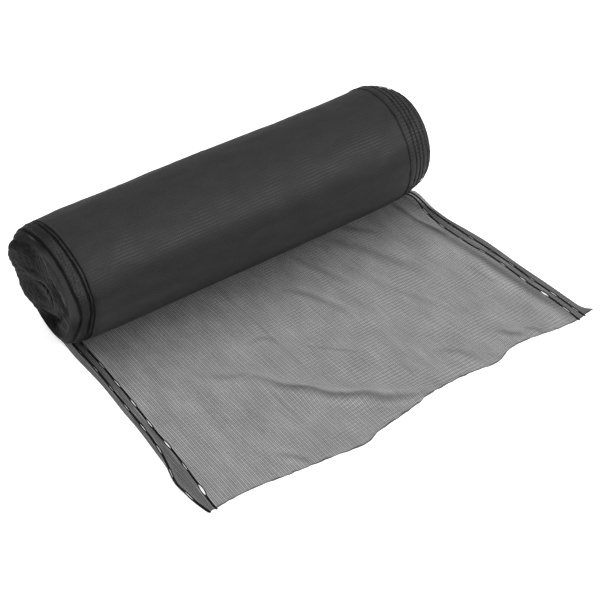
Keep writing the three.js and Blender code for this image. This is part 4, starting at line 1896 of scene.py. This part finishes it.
@dataclass
class EndWindings:
    """The wound and folded turns that show on one end of the roll.

    Attributes:
        end: Which end it is.
        roll: The roll's shape.
        seam: Where the roll's side takes over.
        rim: The last ring of the roll's table on this end.
        face: How far along X the end's plane lies, without its sign.
        forms: Soft swellings and hollows.
        folds: The folds and gaps between turns.
        core: The oval winding's middle from the roll's middle.
        core_half: Half the oval's length and width.
        core_turn: The turn of its length from +Y, in degrees.
        turns: How many turns show from its middle to the rim.
        ridge: How far the turns' edges stand out.
        ridge_light: How much lighter those edges are painted, as a painted highlight.
        shade: How much painted shade lies on the whole end, from 0 to 1.
        swell: A swelling of the rim: its angle, how far out it goes and its spread, or nothing.
        glint: A painted glint where the left rim catches the light: its angle, its place along X and its
            width.
        glint_spread: How far round the rim that goes.
        glint_light: How light the painted glint is.
        rows: Steps over the lip and steps over the face.
        around: Points round the end.
        rim_share: The share of the radius over which the rim rounds into the face.
        cap_depth: How far inside the seam its closed back lies.
        girth: The radius by which distances round it are counted.
        lip_grain: The lip's unevenness.
        drifts: How unevenly the turns follow each other, in turns.
        fading: How unevenly their edges show.
        lumps: The face's unevenness.
        fold_wander: How unevenly wide a fold is.
        specks: Where worn threads lie.
        speck_height: How far they stand out.
        speck_light: How much lighter they are.
        low_shade: How much more painted shade lies on the end's foot, and over what height.
        light_limits: The darkest and the lightest mark of painted light and wear.
    """

    end: RollEnd
    roll: WoundTurns
    seam: float
    rim: float
    face: float
    forms: tuple[EndForm, ...]
    folds: tuple[EndFold, ...]
    core: tuple[float, float]
    core_half: tuple[float, float]
    core_turn: float
    turns: float
    ridge: float
    ridge_light: float = 0.5
    shade: float = 0.0
    swell: tuple[float, float, float] = (0.0, 0.0, 1.0)
    glint: tuple[float, float, float] = (1.56, -0.5078, 0.0010)
    glint_spread: float = 0.11
    glint_light: float = 1.6
    rows: tuple[int, int] = (16, 130)
    around: int = 400
    rim_share: float = 0.12
    cap_depth: float = 0.042
    girth: float = 0.14
    lip_grain: Grain = Grain(0.0004, 0.007, 0.012, 65)
    drifts: tuple[Grain, Grain] = (Grain(0.30, 0.05, 0.05, 61), Grain(0.10, 0.015, 0.015, 62))
    fading: Grain = Grain(0.45, 0.04, 0.04, 63)
    lumps: Grain = Grain(0.0007, 0.018, 0.018, 64)
    fold_wander: Grain = Grain(0.22, 0.02, 0.02, 80)
    specks: Grain = Grain(1.0, 0.006, 0.006, 66, 9)
    speck_height: float = 0.0003
    speck_light: float = 0.14
    low_shade: tuple[float, float] = (0.3, 0.1)
    light_limits: tuple[float, float] = (-1.05, 1.2)

    def winding(self, y: np.ndarray, z: np.ndarray) -> tuple[np.ndarray, np.ndarray]:
        """Reads the family of ovals between the winding's core and the rim.

        Args:
            y: Places across the end, from the roll's middle.
            z: Heights of the same places, from the roll's middle.

        Returns:
            The share of the way from the core's middle to the rim, and the angle there.
        """
        rim = float(self.roll.read("radius", self.rim))
        tilt = math.radians(self.core_turn)
        share = np.hypot(y, z) / rim
        for _ in range(14):
            dy, dz = y - self.core[0] * (1 - share), z - self.core[1] * (1 - share)
            along = dy * math.cos(tilt) + dz * math.sin(tilt)
            across = dz * math.cos(tilt) - dy * math.sin(tilt)
            ratio = self.core_half[1] / self.core_half[0]
            squash = ratio + (1 - ratio) * np.clip(share, 0, 1)
            oval = np.hypot(along, across / squash)
            share = 0.5 * share + 0.5 * oval / rim
        return share, np.arctan2(across / squash, along)

    def relief(self, y: np.ndarray, z: np.ndarray) -> tuple[np.ndarray, np.ndarray]:
        """How far the end stands out, and its painted light and shade.

        Args:
            y: Places across the end, from the roll's middle.
            z: Heights of the same places, from the roll's middle.

        Returns:
            The distance outwards, and the mark of painted light and wear.
        """
        out = np.zeros(y.shape)
        for form in self.forms:
            tilt = math.radians(form.turn)
            along = (y - form.y) * math.cos(tilt) + (z - form.z) * math.sin(tilt)
            across = (z - form.z) * math.cos(tilt) - (y - form.y) * math.sin(tilt)
            out = out + form.out * np.exp(-((along / form.long) ** 2) - (across / form.across) ** 2)
        share, angle = self.winding(y, z)
        drift = sum(grain.at(y, z) for grain in self.drifts)
        phase = share * self.turns - angle / TURN + drift
        edge = np.abs(np.cos(math.pi * phase)) ** 5
        strength = np.clip(0.55 + self.fading.at(y, z), 0.1, 1.0)
        out = out + self.ridge * edge * strength + self.lumps.at(y, z)
        # Painted highlights along the turns' edges.
        light = self.ridge_light * edge * strength
        # Each fold adds painted light along its ridge or painted shade in its gap.
        for seed, fold in enumerate(self.folds, self.fold_wander.seed):
            away, along = from_line(np.array(fold.points), y, z)
            away = away * (1 + self.fold_wander._replace(seed=seed).at(y, z))
            fade = np.sqrt(np.clip(np.sin(math.pi * np.clip(along, 0.06, 0.94)), 0, 1))
            form = bell(away, fold.width) * fade
            out = out + fold.out * form
            light = light + fold.light * form
        specks = self.specks.at(y, z)
        more, height = self.low_shade
        # Painted shade over the whole end, more towards its foot.
        light = light - self.shade * (1 + more * soft_step(-z, 0.0, height))
        painted_light_and_wear = np.clip(light + self.speck_light * specks, *self.light_limits)
        return out + self.speck_height * specks, painted_light_and_wear

    def build(self, finish: bpy.types.Material) -> bpy.types.Object:
        """Makes the end as a closed body.

        Args:
            finish: The wound knit.

        Returns:
            The piece.
        """
        sign = self.end.value
        angle = TURN * np.arange(self.around) / self.around - math.pi / 2
        over = self.roll.stations(self.seam, self.rim, self.rows[0])
        x, turn = np.meshgrid(over, angle, indexing="ij")
        proud = self.lip_grain.at(x, turn * self.girth) * (np.abs(x - self.seam) > 1e-6)
        lip = self.roll.points(x, turn, proud)
        at, far, spread = self.swell
        grown = (x - self.seam) / (self.rim - self.seam)
        lip[..., 0] += sign * far * grown * bell(turn - at, spread)
        rim = lip[-1]
        middle_z = float(self.roll.read("axis", self.rim))
        share = np.linspace(1, 0.006, self.rows[1] + 1)[1:, None]
        y, z = rim[None, :, 1] * share, (rim[None, :, 2] - middle_z) * share
        out, painted_light_and_wear = self.relief(y, z)
        inside = np.sqrt(1 - (1 - np.clip((1 - share) / self.rim_share, 0, 1)) ** 2)
        face_x = rim[None, :, 0] * (1 - inside) + sign * (self.face + out) * inside
        face = np.stack([face_x, y, z + middle_z], -1)
        rings = np.concatenate([lip, face])
        tip = face[-1].mean(0)[None]
        back = end_cap(lip[0], -sign * self.cap_depth)
        points = np.concatenate([rings.reshape(-1, 3), tip, back])
        index = ring_index(len(rings), self.around)
        first = index[-1, 0] + self.around
        quads = grid_quads(index)
        fan = [[int(index[-1, i]), int(index[-1, i + 1]), int(first)] for i in range(self.around)]
        faces = quads.tolist() + fan
        if self.end is RollEnd.RIGHT:
            faces = [face[::-1] for face in faces]
        closing = cap_faces(index[0], first + 1, len(back), self.around, outward=self.end is RollEnd.RIGHT)
        extra = np.zeros(1 + len(back))
        arc = np.broadcast_to(angle * self.girth, rings.shape[:2])
        depth = np.cumsum(np.linalg.norm(np.diff(rings, axis=0, prepend=rings[:1]), axis=-1), 0)
        # Painted light and shade round the left rim, and a painted glint on it.
        rim_light = tongue_light(turn) if self.end is RollEnd.LEFT else 0 * turn
        at, place, width = self.glint
        glint = np.exp(-(((x - place) / width) ** 2) - ((turn - at) / self.glint_spread) ** 2)
        rim_light = rim_light + self.glint_light * glint
        painted_light_and_wear_rows = np.concatenate([rim_light, painted_light_and_wear])
        marks = {
            "across": np.append(depth, extra),
            "along": np.append(arc, extra),
            "painted_light_and_wear": np.append(painted_light_and_wear_rows, extra),
            "front": np.zeros(len(points)),
        }
        name = f"roll_{self.end.name.lower()}_end"
        piece = Form(points, faces + closing, marks, len(closing)).piece(name, finish, Slot.NET)
        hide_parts("net_roll")
        return piece


def left_windings(roll: WoundTurns) -> EndWindings:
    """The left end, with its pushed-out turns, folded tongue and oval core.

    Args:
        roll: The roll's shape.

    Returns:
        The left end's windings.
    """
    return EndWindings(
        end=RollEnd.LEFT, roll=roll, seam=-0.5065, rim=-0.513, face=0.504,
        forms=(
            EndForm(0.094, 0.051, 0.032, 0.061, 0.056, 43),
            EndForm(0.066, 0.094, 0.020, 0.036, 0.024, 6),
            EndForm(0.091, -0.052, 0.020, 0.066, 0.040, 72),
            EndForm(0.010, -0.025, 0.009, 0.080, 0.040, -14),
            EndForm(-0.092, 0.076, 0.006, 0.046, 0.013, 42),
            EndForm(-0.120, 0.022, 0.005, 0.046, 0.012, 78),
            EndForm(-0.090, 0.020, -0.014, 0.042, 0.013, 53),
            EndForm(0.000, -0.092, -0.015, 0.040, 0.013, -25),
            EndForm(-0.078, -0.070, 0.004, 0.032, 0.022, 40),
        ),
        folds=(
            EndFold(((-0.046, 0.102), (-0.062, 0.093), (-0.080, 0.080), (-0.096, 0.066), (-0.108, 0.050)),
                    0.012, 0.004, 0.75),
            EndFold(((-0.108, 0.052), (-0.116, 0.034), (-0.121, 0.014)), 0.0028, 0.001, 1.30),
            EndFold(((-0.064, 0.058), (-0.082, 0.050), (-0.096, 0.040), (-0.106, 0.024), (-0.112, 0.006),
                     (-0.112, -0.010)), 0.007, -0.006, -0.85),
            EndFold(((-0.036, 0.090), (-0.044, 0.083), (-0.050, 0.074)), 0.006, -0.004, -0.90),
            EndFold(((0.060, 0.014), (0.040, 0.018), (0.015, 0.020), (-0.016, 0.026), (-0.046, 0.026),
                     (-0.058, 0.017), (-0.064, 0.002), (-0.065, -0.020), (-0.056, -0.042)),
                    0.0055, 0.0035, 0.42),
            EndFold(((0.022, 0.008), (-0.006, 0.015), (-0.029, 0.012), (-0.042, 0.005),
                     (-0.049, -0.008), (-0.047, -0.026)), 0.0028, -0.0026, -0.80),
            EndFold(((0.004, 0.004), (-0.015, 0.004), (-0.028, -0.002), (-0.037, -0.010), (-0.040, -0.022)),
                    0.0026, 0.0012, 0.55),
            EndFold(((0.064, -0.038), (0.053, -0.051), (0.043, -0.063), (0.030, -0.071), (0.010, -0.074),
                     (-0.018, -0.066), (-0.040, -0.054)), 0.0032, 0.0026, 0.60),
            EndFold(((0.072, -0.050), (0.056, -0.066), (0.044, -0.078)), 0.003, 0.001, 0.35),
            EndFold(((0.042, -0.012), (0.010, -0.028), (-0.022, -0.036)), 0.019, -0.003, -0.42),
            EndFold(((0.036, -0.086), (0.010, -0.092), (-0.024, -0.082), (-0.056, -0.064), (-0.084, -0.034)),
                    0.0075, -0.0045, -0.62),
            EndFold(((0.030, -0.108), (0.000, -0.110), (-0.030, -0.104)), 0.008, -0.001, -0.45),
            EndFold(((-0.098, -0.030), (-0.110, -0.044), (-0.106, -0.060), (-0.090, -0.072)),
                    0.006, 0.0024, 0.25),
            EndFold(((0.040, 0.098), (0.020, 0.084), (0.000, 0.060)), 0.026, 0.0, -0.36),
            EndFold(((0.072, 0.046), (0.060, 0.030), (0.044, 0.020)), 0.003, 0.0012, 0.45),
            EndFold(((0.052, 0.034), (0.030, 0.032), (0.006, 0.036)), 0.005, -0.002, -0.40),
        ),
        core=(0.010, -0.025), core_half=(0.083, 0.040), core_turn=-14, turns=10.5, ridge=0.0005,
        ridge_light=0.10, shade=0.42, swell=(math.radians(63), 0.015, math.radians(22)),
    )


def right_windings(roll: WoundTurns) -> EndWindings:
    """The right end, plainly wound.

    Args:
        roll: The roll's shape.

    Returns:
        The right end's windings.
    """
    return EndWindings(
        end=RollEnd.RIGHT, roll=roll, seam=0.5005, rim=0.514, face=0.516,
        forms=(EndForm(0.0, 0.0, 0.004, 0.060, 0.060, 0), EndForm(0.020, 0.030, -0.006, 0.030, 0.016, 35)),
        folds=(), core=(0.012, 0.006), core_half=(0.05, 0.034), core_turn=20, turns=11.5, ridge=0.0022,
        rows=(16, 100),
    )


def wound_bands(roll: WoundTurns) -> tuple[list[WoundBand], list[WoundBand]]:
    """The rings of the bands that show on the roll, from left to right.

    Args:
        roll: The roll's shape.

    Returns:
        The rings near the left end, and those near the right end.
    """
    outer = ((60, -0.5035), (92, -0.5025), (116, -0.5010), (141, -0.4992), (158, -0.4985), (172, -0.4948),
             (184, -0.4945), (197, -0.4992), (212, -0.5030))
    inner = ((60, -0.4745), (125, -0.4740), (141, -0.4722), (157, -0.4705), (175, -0.4694), (184, -0.4715),
             (193, -0.4765), (212, -0.4785))
    second = ((60, -0.4665), (112, -0.4662), (130, -0.4640), (144, -0.4615), (158, -0.4620), (172, -0.4605),
              (184, -0.4625), (197, -0.4670), (212, -0.4680))
    left = [
        WoundBand(
            f"wound_band_left_{number}", tuple(RingRow(*row) for row in table), roll, 0.35, first,
            strand_half=half, shade=shade,
        )
        for number, (table, first, half, shade) in enumerate(
            ((outer, 0.20, 0.0012, 0.75), (inner, 0.30, 0.0012, 0.75), (second, 0.60, 0.0007, 0.55)), 1
        )
    ]
    plain = ((0.420, 0.30, 0.10), (0.441, 0.35, 0.35), (0.456, 0.30, 0.25), (0.471, 0.35, 0.05),
             (0.488, 0.30, 0.40))
    right = [
        WoundBand(
            f"wound_band_right_{number}", (RingRow(0, x),), roll, width, first,
            strand_half=0.0008, shade=0.3,
        )
        for number, (x, width, first) in enumerate(plain, 1)
    ]
    return left, right


def write_size() -> None:
    """Brings the scene's placements up to date."""
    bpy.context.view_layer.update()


def main() -> None:
    """Builds the netting and the studio around it."""
    logging.basicConfig(level=logging.INFO, format="%(message)s")
    Viewpoint().build()
    Studio().build(FloorPaint())
    loose_knit = LooseKnit().material()
    wound_knit = WoundKnit().material()
    band_yarn = BandYarn().material()

    roll = WoundTurns()
    left_rings, right_rings = wound_bands(roll)
    RollSide(roll, left_rings + right_rings).build(wound_knit)
    left_windings(roll).build(wound_knit)
    right_windings(roll).build(wound_knit)
    worn_yarn = BandYarn("worn_band_yarn", brightness=0.0125, shine=0.16).material()
    for rings, yarn in ((left_rings, band_yarn), (right_rings, worn_yarn)):
        for ring in rings:
            ring.build(yarn)

    plan = LooseEndPlan(roll)
    net = LooseNet(plan)
    sheet = net.build(loose_knit)
    bands = [EyeletBand(place, plan).build(band_yarn) for place in BandPlace]
    write_size()


if __name__ == "__main__":
    main()
